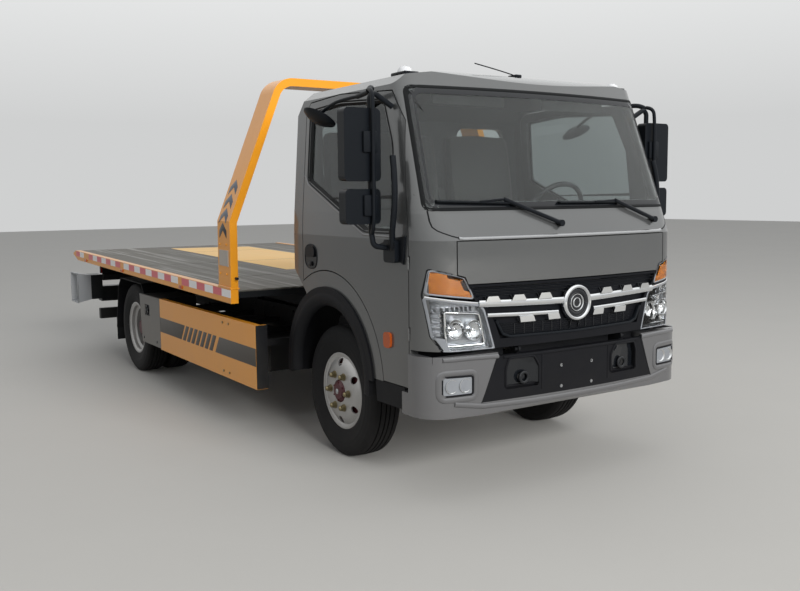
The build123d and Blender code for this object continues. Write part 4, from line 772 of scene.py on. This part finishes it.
def bed_trim(s, name):
    """Tape, markers and the arch's chevrons, plate, rivets and foot on one side."""
    blocks = {"W": [], "R": []}
    for first, colours in ((-832, "WRWRWR"), (-1811, "WRWRWRWRW"), (-3261, "RWRWRWR"), (-4497, "WR")):
        tape_run(s, first, colours, blocks)
    fit("tape_white_" + name, "bed", tape_white, *blocks["W"])
    fit("tape_red_" + name, "bed", tape_red, *blocks["R"])
    markers = [rake(block((x - 34, x + 34), (s * 1124, s * 1134), (833, 856), 4, 2))
               for x in (-1745, -3208, -4405)]
    fit("side_markers_" + name, "bed", repeater_lens, *markers)
    y = s * ARCH_FACE
    arrows = []
    for k, z in enumerate((1335, 1432, 1528, 1624)):
        points = ((-940, z), (-882, z - 50), (-882, z - 100), (-940, z - 50), (-998, z - 100), (-998, z - 50))
        arrow = prism(points, "y", s * 1122.5, s * 1124, 0.2)
        if k:
            turned(arrow, (0, y, ARCH_BEND), "X", s * ARCH_LEAN)
        arrows.append(rake(arrow))
    fit("arch_low_chevron_" + name, "bed", chevron_black, arrows[0])
    fit("arch_chevrons_" + name, "bed", chevron_blue, *arrows[1:])
    plate = rake(block((-1006, -862), (y - s * 1, y + s * 3), (1059, 1160), 1, 1))
    rib = rake(block((-868, -856), (y - s * 1, y + s * 6), (1057, 1162), 1, 1))
    rivets = [rake(drum((x, y + s * 2, z), "y", 7, 6, 1.5, 16)) for x in (-1000, -892) for z in (1008, 1196)]
    fit("arch_plate_" + name, "bed", plate_grey, plate, rib)
    fit("arch_rivets_" + name, "bed", yellow_enamel, *rivets)
    collar = rake(block((-1036, -822), (s * 1066, s * 1128), (914, 925), 4, 2))
    weld = rake(tube([(-1032, s * 1126, 926), (-930, s * 1127, 928), (-830, s * 1126, 926)], 4))
    fit("arch_foot_" + name, "bed", yellow_enamel, collar, weld)
    knob = rake(drum((-812, s * 1090, 985), "x", 9, 30, 3))
    rear_knob = rake(drum((-1046, s * 1105, 955), "x", 9, 30, 3))
    fit("arch_bolts_" + name, "bed", chassis_black, knob, rear_knob)


def deck_paint():
    """Yellow panel down the deck's middle, weld seams across it and a tail edge."""
    panel = prism(((-4640, -205), (-4470, 590), (-1915, 590), (-1915, -205)), "z", 908.8, 909.8, 0.2)
    fit("deck_yellow_panel", "bed", deck_yellow, rake(panel))
    seams = [rake(block((x - 2, x + 2), (-1070, 1070), (908.5, 910.4), 0.6, 1))
             for x in (-1620, -2820, -4020)]
    fit("deck_weld_seams", "bed", deck_enamel, *seams)
    tail = rake(drum((-4862, 0, 893), "y", 14, 2140, 2, 20))
    fit("deck_tail_bar", "bed", deck_enamel, tail)


def winch_trim():
    """Cable turns on the drum, the case's bolts, the fairlead and the cover."""
    x, z = -1019, 1014.3
    turns = []
    for k in range(28):
        turn = ring((0, 0, 0), "y", 74, 5.6, 40)
        turn.data.transform(Matrix.Translation(at(x, -151 + 11.2 * k, z) - at(0, 0, 0)))
        turns.append(rake(turn))
    fit("winch_cable", "winch_drum", wire_rope, *turns)
    cases = []
    for s, _ in SIDES:
        for k in range(6):
            angle = math.radians(60 * k + 30)
            bolt = (x + 58 * math.cos(angle), s * 291, z + 58 * math.sin(angle))
            cases.append(rake(drum(bolt, "y", 7, 8, 1, 6)))
        cases.append(rake(drum((x, s * 294, z), "y", 30, 14, 4, 32)))
    fit("winch_case_bolts", "bed", zinc_steel, *cases)
    guide = [rake(block((-1190, -1150), (-230, 230), (910, 926), 3)),
             rake(block((-1180, -1160), (-230, -214), (920, 1060), 3)),
             rake(block((-1180, -1160), (214, 230), (920, 1060), 3)),
             rake(drum((-1170, 0, 965), "y", 20, 424, 3)), rake(drum((-1170, 0, 1040), "y", 20, 424, 3))]
    fit("winch_fairlead", "bed", zinc_steel, *guide)
    hood = [rake(block((-1160, -880), (-300, 300), (1104, 1110), 2)),
            rake(block((-884, -878), (-300, 300), (935, 1108), 2))]
    fit("winch_cover", "bed", chassis_black, *hood)


for s, side_name in SIDES:
    bed_trim(s, side_name)
deck_paint()
winch_trim()


# Side guards and lockers

GUARD_FACE = 1084         # Y of the side guard's outer face


def guard_trim(s, name):
    """Stripe and fixings of the side guard, with the locker door's latch and screws."""
    y = s * GUARD_FACE
    out = y + s * 0.8
    slots = []
    for k in range(7):
        top, low = -1162 - 87 * k - 25, -1240 - 88 * k - 25
        slots.append(prism(((top, 584), (top - 62, 584), (low - 62, 471), (low, 471)), "y", y, out, 0.2))
    front = prism(((-546, 584), (-1136, 584), (-1214, 471), (-546, 471)), "y", y, out, 0.2)
    rear = prism(((-1800, 584), (-2359, 584), (-2359, 471), (-1880, 471)), "y", y, out, 0.2)
    fit("guard_stripe_" + name, "chassis", stripe_grey, front, rear, *slots)
    bolts = [drum((x, y + s * 2, z), "y", 9, 5, 1.5, 6) for x in (-970, -1070) for z in (367, 691)]
    fit("guard_bolts_" + name, "chassis", nut_brass, *bolts)
    flange = block((-550, -543), (s * 1004, s * 1083), (329, 728), 2)
    fit("guard_front_edge_" + name, "chassis", chassis_black, flange)
    body = "tool_box_door_" + name
    latch = [block((-2725, -2635), (s * 1077, s * 1079), (566, 654), 1),
             drum((-2680, s * 1082, 640), "y", 13, 16, 3),
             block((-2704, -2650), (s * 1082, s * 1092), (600, 622), 4),
             turned(block((-2686, -2674), (s * 1084, s * 1096), (570, 640), 4), (-2680, 0, 610), "Y", 28),
             drum((-2674, s * 1084, 580), "y", 10, 14, 2)]
    fit("locker_latch_" + name, body, gloss_black, *latch)
    screws = [drum((x, s * 1085, z), "y", 11, 4, 1.2, 20) for x, z in ((-2782, 374), (-2455, 374))]
    fit("locker_screws_" + name, body, gloss_black, *screws)
    edge = block((-2862, -2372), (s * 1083, s * 1086), (716, 726), 1)
    fit("locker_top_edge_" + name, body, locker_enamel, edge)


for s, side_name in SIDES:
    guard_trim(s, side_name)


# Front of the cab

FRONT = skin("cab_shell", "grille", "front_lid", "headlamps", "cab_windows")
BUMPER = skin("bumper", "bumper_insert", "fog_lamps")


def bowed_nose():
    """Plain bowed surface of the cab's nose, which the grille's bars lie in, over the sunken mesh."""
    across, up = range(-700, 701, 20), (740, 1120)
    corners = [at(1097 - 7 * (z - 555) / 735 - y * y / 9994, y, z) for z in up for y in across]
    count = len(across)
    return BVHTree.FromPolygons(corners, [(k, k + 1, count + k + 1, count + k) for k in range(count - 1)])


NOSE = bowed_nose()
BADGE_HEIGHT = 948
DEEP = ((-1, -18), (-1, 0.3), (-0.7, 0.8), (-0.25, 1), (0.25, 1), (0.7, 0.8), (1, 0.3), (1, -18))


def grille_trim():
    """Chrome bars with their raised teeth, fine louvres behind them and a plain round badge seat."""
    bars, teeth, louvres, frames = [], [], [], []
    for s, _ in SIDES:
        bars.append(strip(NOSE, flip(s, ((92, 966), (616, 981))), 38, 14, DEEP))
        bars.append(strip(NOSE, flip(s, ((126, 908), (340, 913), (566, 921))), 22, 9, DEEP))
        for y in (219, 386, 540):
            outline = flip(s, ((y - 46, 984), (y - 28, 1014), (y + 28, 1015), (y + 46, 985)))
            teeth.append(patch(NOSE, outline, -18, 17, shrink=0.45))
        for y0, y1 in ((116, 204), (281, 383)):
            outline = flip(s, ((y0 + 12, 904), (y1 - 4, 904), (y1 - 10, 874), (y0, 874)))
            teeth.append(patch(NOSE, outline, -18, 12, shrink=0.18))
        for k in range(4):
            z = 1012 + 15 * k
            louvres.append(strip(FRONT, flip(s, ((0, z), (628 + 9 * k, z + 4))), 8, 7, RIDGE))
        for k in range(6):
            z = 868 - 10.5 * k
            louvres.append(strip(FRONT, flip(s, ((0, z - 4), (478 - 6 * k, z + 1))), 5.5, 5, RIDGE))
        for y in range(30, 450, 60):
            louvres.append(strip(FRONT, flip(s, ((y, 812), (y, 866))), 5, 4, FLAT))
        frames.append(strip(NOSE, flip(s, ((0, 800), (430, 806), (474, 822), (514, 892))), 14, 6, DEEP))
    fit("grille_chrome_bars", "cab", bright_chrome, *bars)
    fit("grille_chrome_teeth", "cab", bright_chrome, *teeth)
    fit("grille_louvres", "cab", gloss_black, *louvres)
    fit("grille_lower_frame", "cab", mirror_black, *frames)
    inner = oval(0, BADGE_HEIGHT, 64, 62, 36)
    hoop = strip(NOSE, oval(0, BADGE_HEIGHT, 86, 84, 36), 24, 24, CROWN, True, 40)
    fit("badge_ring", "cab", bright_chrome, hoop)
    disc = patch(NOSE, inner, -2, 8, 40)
    seat = strip(NOSE, inner, 28, 15, CROWN, True, 40)
    fit("badge_seat", "cab", gloss_black, disc, seat)
    boss = [strip(NOSE, oval(0, BADGE_HEIGHT, r, r, 24), 9, 13, CROWN, True, 40) for r in (24, 44)]
    fit("badge_inner_rings", "cab", bright_chrome, *boss)


LAMP = ((526, 755), (584, 951), (616, 974), (861, 1014), (838, 829), (796, 755))
LID = ((-1, -40), (-0.6, -18), (0.6, -18), (1, -40))
RIB = ((-1, -40), (-0.6, -20), (0.6, -20), (1, -40))
WINKER = ((642, 1008), (655, 1040), (689, 1107), (712, 1117), (846, 1150), (858, 1036))


def headlamp(s, name):
    """Head lamp with its bright boxes, reflectors and clear lens, under the indicator's own lens."""
    housing = patch(FRONT, flip(s, LAMP), -46, -40)
    wall = strip(FRONT, rounded(flip(s, LAMP), 10), 9, 3,
                 ((-1, -42), (-1, 0.6), (-0.4, 1), (1, 0.6), (1, -42)), True)
    inner_box = rounded(flip(s, ((575, 780), (606, 930), (786, 948), (780, 780))), 12)
    section = ((-1, -40), (-1, -10), (-0.4, -6), (0.4, -6), (1, -10), (1, -40))
    inner = strip(FRONT, inner_box, 12, 1, section, True)
    lids = [strip(FRONT, flip(s, ((y, 968), (y - 2, 946))), 12, 1, LID) for y in range(640, 830, 24)]
    ribs = [strip(FRONT, flip(s, ((798, z), (834, z + 3))), 12, 1, RIB) for z in range(820, 990, 24)]
    fit("headlamp_housing_" + name, "cab", lamp_housing, housing, wall, *lids, *ribs)
    fit("headlamp_inner_frame_" + name, "cab", bright_chrome, inner)
    cups = []
    for y, z, r in ((636, 852, 50), (736, 862, 48)):
        x = millimetres(meet(FRONT, "x", 1, s * y, z, -38))[0]
        profile = ((r * 0.18, 2), (r * 0.6, 8), (r * 0.85, 18), (r, 32), (r + 2, 32), (r + 1, 2))
        cup = lathe((x, s * y, z), profile, 12)
        turned(cup, (x, s * y, z), "Z", -90)
        cups += [cup, drum((x + 16, s * y, z), "x", r * 0.2, 24, 4, 20)]
    fit("headlamp_reflectors_" + name, "cab", reflector_chrome, *cups)
    lens = patch(FRONT, flip(s, LAMP), -3, 0.5)
    fit("headlamp_lens_" + name, "cab", clear_lens, lens)
    bowl = patch(FRONT, flip(s, WINKER), -13, -5)
    fit("indicator_bowl_" + name, "cab", amber_lens, bowl)
    edge = strip(FRONT, rounded(flip(s, WINKER), 14), 8, 3, CROWN, True)
    bar = strip(FRONT, flip(s, ((618, 984), (740, 1000), (860, 1019))), 11, 5, CROWN)
    fit("headlamp_bright_trim_" + name, "cab", lamp_housing, edge)
    fit("headlamp_chrome_bar_" + name, "cab", bright_chrome, bar)
    cover = patch(FRONT, flip(s, WINKER), -7, 0.5)
    fit("indicator_lens_" + name, "cab", clear_lens, cover)
    outer = rounded(flip(s, ((522, 751), (582, 955), (636, 1006), (648, 1040), (684, 1112), (850, 1157),
                             (866, 1030), (843, 827), (799, 751))), 10)
    gap = strip(FRONT, outer, 5, 1.0, FLAT, True)
    fit("headlamp_surround_" + name, "cab", seal_rubber, gap)
    return lens


for lens in [headlamp(s, side_name) for s, side_name in SIDES]:
    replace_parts(lens, "headlamps")
grille_trim()


def screen_trim():
    """Printed black border of the windscreen, its rubber, the wipers and the scuttle panel's seams."""
    outline = rounded([(-838, 1440), (838, 1440), (803, 2048), (-803, 2048)], 30)
    border = strip(FRONT, rounded([(-822, 1457), (822, 1457), (786, 2030), (-786, 2030)], 60), 32, 0.8, FLAT,
                   True, 40)
    fit("windscreen_border", "cab", gloss_black, border)
    rubber = strip(FRONT, outline, 16, 4, CROWN, True, 40)
    fit("windscreen_rubber", "cab", seal_rubber, rubber)
    seams = []
    for s, _ in SIDES:
        bend = [(829, 1436), (829, 1385), (824, 1357), (808, 1340), (785, 1328), (750, 1314), (715, 1304),
                (700, 1301)]
        seams.append(strip(FRONT, flip(s, bend), 6, 1.8, FLAT, False, 12))
        seams.append(strip(FRONT, flip(s, ((858, 1512), (872, 1496))), 5, 0.7, FLAT))
    fit("scuttle_seams", "cab", seal_rubber, *seams)
    # The cowl ridge takes the lighter basecoat, a painted highlight along the ledge.
    ridge = strip(FRONT, ((-715, 1304), (-690, 1300), (0, 1300), (690, 1300), (715, 1304)), 17, 7, CROWN,
                  False, 24)
    fit("cowl_ridge", "cab", ledge_highlight_enamel, ridge)
    for index, (pivot, knuckle, middle, ends) in enumerate((
            ((-96, 1362), (-419, 1487), (-560, 1476), ((-790, 1481), (-338, 1466))),
            ((658, 1365), (352, 1474), (190, 1468), ((-65, 1468), (403, 1466))))):
        places = [millimetres(meet(FRONT, "x", 1, y, z, 24)) for y, z in (pivot, knuckle, middle)]
        post = [millimetres(meet(FRONT, "x", 1, *pivot, lift)) for lift in (-4, 34)]
        arm = [tube(places[:2], 11, 12, 2), tube(places[1:], 6, 8, 2), tube(post, 17, 16, 2)]
        rail = strip(FRONT, ends, 12, 20, ((-1, 0.5), (-1, 0.8), (0, 1), (1, 0.8), (1, 0.5)), False, 60)
        lip = strip(FRONT, ends, 5, 12, ((-1, 0.15), (-1, 1), (1, 1), (1, 0.15)), False, 60)
        bridge = strip(FRONT, ends, 7, 26, ((-1, 0.7), (-0.6, 1), (0.6, 1), (1, 0.7)), False, 60)
        fit("wiper_%d" % (index + 1), "cab", mirror_black, *arm, rail, lip, bridge)


screen_trim()


def nose_shade_sheet():
    """Black sheet behind the slot between the grille and the bumper, put there as painted shade in the slot.
    """
    shade_sheets = [block((1006, 1010), (s * a, s * b), (690, 768), 1) for s, _ in SIDES
              for a, b in ((0, 330), (420, 620))]
    fit("nose_painted_shade_sheet", "chassis", chassis_black, *shade_sheets)


def bumper_trim():
    """Tow eyes' recesses, fog lamps' pockets and reflectors, plate fixings, lower lip and ribs."""
    for s, name in SIDES:
        hollow = ((264, 560), (264, 640), (296, 690), (440, 690), (458, 640), (458, 560))
        recess = patch(BUMPER, flip(s, hollow), -3, 1)
        edge = ((258, 552), (258, 646), (292, 698), (446, 698), (466, 646), (466, 552))
        frame_path = rounded(flip(s, edge), 14)
        lip = strip(BUMPER, frame_path, 12, 7, CROWN, True)
        eye = ring((1090, s * 350, 592), "x", 26, 9, 32)
        fit("tow_recess_" + name, "chassis", gloss_black, recess, eye)
        fit("tow_recess_edge_" + name, "chassis", grained_black, lip)
        pocket_line = rounded(flip(s, ((640, 520), (640, 652), (836, 656), (836, 520))), 34)
        pocket = strip(BUMPER, pocket_line, 26, 6, CROWN, True)
        fit("fog_pocket_" + name, "chassis", bumper_enamel, pocket)
        glass_line = rounded(flip(s, ((658, 541), (658, 632), (822, 636), (822, 541))), 14)
        bezel = strip(BUMPER, glass_line, 10, 4, CROWN, True)
        fit("fog_bezel_" + name, "chassis", grained_black, bezel)
        lamp_cups = []
        for y in (700, 775):
            x = millimetres(meet(BUMPER, "x", 1, s * y, 588, 0))[0]
            cup = lathe((x, s * y, 588), ((4, -14), (20, -10), (28, -2), (33, 3), (36, 3), (34, -14)), 14)
            turned(cup, (x, s * y, 588), "Z", -90)
            lamp_cups.append(cup)
        fit("fog_reflectors_" + name, "chassis", reflector_chrome, *lamp_cups)
        roll = strip(BUMPER, flip(s, ((512, 716), (640, 720), (820, 720))), 24, 9, CROWN)
        fit("bumper_roll_" + name, "chassis", bumper_enamel, roll)
        seam = strip(BUMPER, flip(s, ((608, 488), (505, 716))), 5, 1, FLAT)
        fit("bumper_seam_" + name, "chassis", seal_rubber, seam)
    nuts = [patch(BUMPER, oval(y, z, 9, 9, 8), -1, 3) for y in (-108, 108) for z in (520, 630)]
    fit("plate_fixings", "chassis", zinc_steel, *nuts)
    lower = ((-760, 500), (-600, 474), (-300, 468), (300, 468), (600, 474), (760, 500))
    chin = strip(BUMPER, lower, 26, 8, CROWN)
    fit("bumper_chin", "chassis", bumper_enamel, chin)
    ridge = strip(BUMPER, ((-478, 706), (0, 708), (478, 706)), 16, 5, CROWN, False, 40)
    channels = [strip(BUMPER, ((y, 520), (y, 700)), 10, 3, CROWN) for y in (-236, 236)]
    fit("insert_ribs", "chassis", grained_black, ridge, *channels)


bumper_trim()
nose_shade_sheet()


def arch_lip(s, name):
    """Broad inward turn of the black flare round the front arch."""
    rows = []
    for angle in range(-6, 187, 6):
        c, n = math.cos(math.radians(angle)), math.sin(math.radians(angle))
        rows.append([at(20 + r * c, s * y, 500 + r * n)
                     for r, y in ((462, 897), (440, 901), (405, 893), (390, 876), (390, 852), (462, 852))])
    fit("arch_lip_" + name, "cab", grained_black, shell(rows, False, True, True))


for s, side_name in SIDES:
    arch_lip(s, side_name)


# Doors

def door_trim(s, name):
    """Handle, repeater, window seals and the mirrors' arms and glass on one door."""
    body = "door_" + name
    panel = skin("door_" + name)
    outline = rounded(((-245, 1094), (-245, 1232), (-98, 1232), (-98, 1094)), 70, 6)
    pocket = pad(panel, outline, -1, 0.8, "y", s)
    rim = moulding(panel, outline, 9, 4, "y", s, CROWN, True, 20)
    grip = rounded([(-228, 1160), (-228, 1222), (-114, 1222), (-114, 1160)], 34, 5)
    paddle = pad(panel, grip, 0, 12, "y", s, shrink=0.12)
    lock = drum((-170, s * 892, 1120), "y", 14, 12, 3)
    fit("handle_pocket_" + name, body, gloss_black, pocket)
    fit("handle_" + name, body, mirror_black, rim, paddle)
    fit("door_lock_" + name, body, spring_steel, lock)
    lamp_line = rounded([(628, 738), (628, 819), (694, 819), (694, 738)], 26, 5)
    fit("side_repeater_" + name, body, repeater_lens, pad(panel, lamp_line, -1, 12, "y", s, shrink=0.12))
    both = skin("door_" + name, "door_glass_" + name)
    pane = rounded([(-215, 1600), (430, 1330), (700, 1330), (668, 1760), (560, 1990), (120, 2015),
                    (-215, 1995)], 40)
    seal = moulding(both, pane, 26, 5, "y", s, FLAT, True)
    fit("window_seal_" + name, body, seal_rubber, seal)
    triangle = pad(panel, [(585, 1262), (720, 1300), (835, 1312), (815, 1172)], -1, 9, "y", s, shrink=0.04)
    fit("mirror_foot_plate_" + name, body, mirror_black, triangle)
    belt = moulding(panel, ((-262, 1632), (-218, 1580), (428, 1308), (716, 1304)), 12, 5, "y", s, CROWN)
    fit("window_belt_" + name, body, bumper_enamel, belt)
    lining_piece = block((-230, 780), (s * 832, s * 838), (1100, 1300), 8)
    fit("door_lining_" + name, body, lining, lining_piece)
    strut = tube([(750, s * 905, 1240), (760, s * 925, 1310), (800, s * 935, 1400), (812, s * 935, 1520),
                  (798, s * 930, 1640), (780, s * 925, 1700)], 16)
    bracket = tube([(662, s * 985, 2020), (640, s * 960, 2045), (560, s * 900, 2035),
                    (420, s * 905, 2020)], 14)
    arm = tube([(420, s * 905, 2020), (310, s * 925, 2016), (200, s * 950, 1992), (112, s * 965, 1950)], 10)
    fit("mirror_struts_" + name, body, mirror_black, strut, bracket, arm)
    backs = [block((638, 641), (s * 962, s * 1132), limits, 3) for limits in ((1600, 1912), (1388, 1526))]
    fit("mirror_glass_" + name, body, mirror_glass, *backs)
    clamps = [block((686, 718), (s * 968, s * 1050), (z - 52, z + 52), 8) for z in (1770, 1462)]
    stay = tube([(668, s * 985, 2026), (712, s * 998, 2022), (724, s * 1000, 1950), (724, s * 1000, 1680),
                 (724, s * 1000, 1420), (712, s * 998, 1346), (676, s * 985, 1322)], 11)
    fit("mirror_clamps_" + name, body, mirror_black, stay, *clamps)
    bowl = lathe((92, s * 960, 1925), ((0.1, -16), (60, -10), (92, 8), (96, 16), (88, 18), (0.1, 6)), 32)
    turned(bowl, (92, s * 960, 1925), "X", -s * 60)
    fit("look_down_mirror_" + name, body, mirror_black, bowl)


for s, side_name in SIDES:
    door_trim(s, side_name)


# Roof

def roof_trim():
    """Marker lamps, aerial and the roof's pressings."""
    roof = skin("cab_shell")
    domes, bases = [], []
    for s, _ in SIDES:
        x, y = 620, s * 740
        z = meet(roof, "z", 1, x, y, 0).z * 1000
        bases.append(block((x - 70, x + 60), (y - 45, y + 45), (z - 6, z + 12), 6, 3))
        dome = lathe((x - 5, y, z + 10), ((0.1, 34), (20, 31), (34, 20), (40, 0), (0.1, 0)), 28)
        turned(dome, (x - 5, y, z + 10), "X", 90)
        domes.append(dome)
    fit("roof_marker_bases", "cab", mirror_black, *bases)
    fit("roof_marker_domes", "cab", milk_lens, *domes)
    z = meet(roof, "z", 1, 640, -30, 0).z * 1000
    foot = block((600, 670), (-52, -8), (z - 4, z + 14), 6, 3)
    whip = tube([(640, -34, z + 10), (630, -110, z + 30), (612, -290, z + 62)], 3.2, 8)
    fit("aerial", "cab", mirror_black, foot, whip)
    ribs = [moulding(roof, ((-180, y), (520, y)), 60, 5, "z", 1, CROWN, False, 60)
            for y in (-480, -160, 160, 480)]
    fit("roof_pressings", "cab", cab_enamel, *ribs)


roof_trim()


# Cab inside

SEAT_BACK_TURN = -98      # from lying flat to leaning back a little


def cushion(low, high, crown):
    """Pad that swells between its edges, with a sewn channel along it."""
    begin()
    bpy.ops.mesh.primitive_cube_add(size=1)
    piece = bpy.context.object
    bpy.ops.object.mode_set(mode="EDIT")
    bpy.ops.mesh.subdivide(number_cuts=9)
    bpy.ops.object.mode_set(mode="OBJECT")
    size = [b - a for a, b in zip(low, high)]
    for vertex in piece.data.vertices:
        p = vertex.co * 2
        pull = 1 - 0.05 * (abs(p.x * p.y) + abs(p.y * p.z) + abs(p.x * p.z)) / 3
        channel = 0.5 * math.exp(-((abs(p.y) - 0.45) / 0.08) ** 2)
        grown = p * pull
        swell = crown * (1 - p.x ** 2) * (1 - p.y ** 2) * (1 if p.z > 0 else -0.3)
        grown.z += swell - channel * 0.08 * (p.z > 0.9)
        vertex.co = at(*[low[i] + size[i] * (grown[i] + 1) / 2 for i in range(3)])
    smooth = piece.modifiers.new("soft", "SUBSURF")
    smooth.levels = smooth.render_levels = 1
    bpy.ops.object.modifier_apply(modifier=smooth.name)
    return settle(piece, 0, 180)


def seats():
    """Bench and driver's seat, each a padded cushion and back on a stand."""
    made = []
    for label, y0, y1 in (("driver", 190, 690), ("passenger", -710, 80)):
        base = cushion((-300, y0, 1190), (270, y1, 1315), 0.18)
        back = cushion((-60, y0, 0), (620, y1, 95), 0.16)
        turned(back, (0, 0, 0), "Y", SEAT_BACK_TURN)
        back.data.transform(Matrix.Translation(Vector((-195, 0, 1290)) / 1000))
        for part, what in ((base, "cushion"), (back, "back")):
            piece = fit(label + "_seat_" + what, "cab", cloth, part)
            made.append(piece)
        stand = block((-280, 230), (y0 + 30, y1 - 30), (1126, 1200), 12)
        fit(label + "_seat_stand", "cab", dash_plastic, stand)
    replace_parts(made[0], "seats")


def cab_inside():
    """Dashboard panels, rear wall, sun visors and gear lever."""
    board = [block((618, 700), (s0, s1), (1285, 1345), 10) for s0, s1 in ((-620, -160), (-60, 120))]
    hood = block((600, 690), (230, 570), (1368, 1418), 18, 3)
    fit("dashboard_panels", "cab", lining, *board)
    fit("instrument_hood", "cab", dash_plastic, hood)
    rear_wall = block((CAB_REAR_INSIDE, CAB_REAR_INSIDE + 8), (-760, 760), (1150, 1560), 10)
    fit("rear_wall_lining", "cab", lining, rear_wall)
    visors = [block((640, 655), (y0, y1), (1975, 2075), 8) for y0, y1 in ((-600, -120), (150, 620))]
    fit("sun_visors", "cab", lining, *visors)
    lever = tube([(420, 60, 1126), (430, 60, 1300), (410, 70, 1420)], 9)
    knob = ring((410, 70, 1425), "z", 10, 14, 20)
    fit("gear_lever", "cab", mirror_black, lever, knob)


seats()
cab_inside()


# Under and behind

TAIL_LAMP_BACK = -4705.3  # rear face of the tail lamps' cases


def tail_trim():
    """Lamps, flaps and fixings under the bed, the damper, tank straps, exhaust and hoses."""
    for s, name in SIDES:
        x = TAIL_LAMP_BACK
        housing = block((x - 2, x + 43), (s * 543, s * 922), (767, 859), 5)
        fit("tail_lamp_case_" + name, "chassis", grained_black, housing)
        cells = (("tail_lamp_red_", red_lens, 665, 915), ("tail_lamp_amber_", amber_lens, 605, 660),
                 ("tail_lamp_white_", milk_lens, 552, 600))
        for label, material, y0, y1 in cells:
            fit(label + name, "chassis", material, block((x - 9, x), (s * y0, s * y1), (774, 852), 4, 3))
        y = s * 1178
        lip = [block((-4827, -4563), (y - s * 8, y + s * 1), (z - 5, z + 5), 3) for z in (496, 784)]
        lip += [block((x0 - 5, x0 + 5), (y - s * 8, y + s * 1), (495, 785), 3) for x0 in (-4824, -4566)]
        fit("cup_lip_" + name, "lift_slide", lift_zinc, *lip)
        flap = block((-3862, -3854), (s * 580, s * 1005), (210, 420), 3)
        fit("mud_flap_" + name, "chassis", seal_rubber, flap)
        straps = [block((x0 - 20, x0 + 20), (s * 360.5, s * 363), (540, 690), 1)
                  for x0 in (-300, -2000, -3700)]
        fit("rail_plates_" + name, "chassis", chassis_black, *straps)
        heads = [drum((x0, s * 362, z), "y", 9, 10, 1.5, 6) for x0 in range(-4200, 900, 340)
                 for z in (565, 665)]
        fit("rail_bolts_" + name, "chassis", chassis_black, *heads)
        clips = []
        for station, seat in ((0, AXLE_HEIGHT - 40), (-WHEELBASE, AXLE_HEIGHT + 62)):
            for dx in (-70, 70):
                clips.append(tube([(station + dx, s * 312, seat - 90), (station + dx, s * 312, seat + 60),
                                   (station + dx, s * 345, seat + 78), (station + dx, s * 378, seat + 60),
                                   (station + dx, s * 378, seat - 90)], 8))
        fit("spring_clips_" + name, "chassis", spring_steel, *clips)
        damper = [drum((-200, s * 420, 470), "z", 26, 200, 4), drum((-200, s * 420, 610), "z", 14, 120, 3)]
        fit("front_damper_" + name, "chassis", chassis_black, *damper)
    bands = [block((x0 - 20, x0 + 20), (428, 962), (562, 566), 1) for x0 in (-1500, -1070)]
    bands += [block((x0 - 20, x0 + 20), (959, 962), (380, 562), 1) for x0 in (-1500, -1070)]
    fit("tank_straps", "chassis", chassis_black, *bands)
    cap = drum((-980, 962, 500), "y", 36, 30, 4)
    fit("fuel_cap", "chassis", gloss_black, cap)
    pipe = tube([(-100, -200, 480), (-400, -240, 470), (-900, -250, 470), (-1500, -240, 480),
                 (-2300, -240, 500)], 30, 16)
    can = drum((-1150, -250, 470), "x", 85, 520, 12, 40)
    fit("exhaust", "chassis", cast_iron, pipe, can)
    hoses = [tube([(-500, y, 705), (-1500, y + 10, 700), (-2600, y - 8, 702), (-3300, y, 640)], 8)
             for y in (300, 320)]
    fit("brake_hoses", "chassis", cable_black, *hoses)


tail_trim()
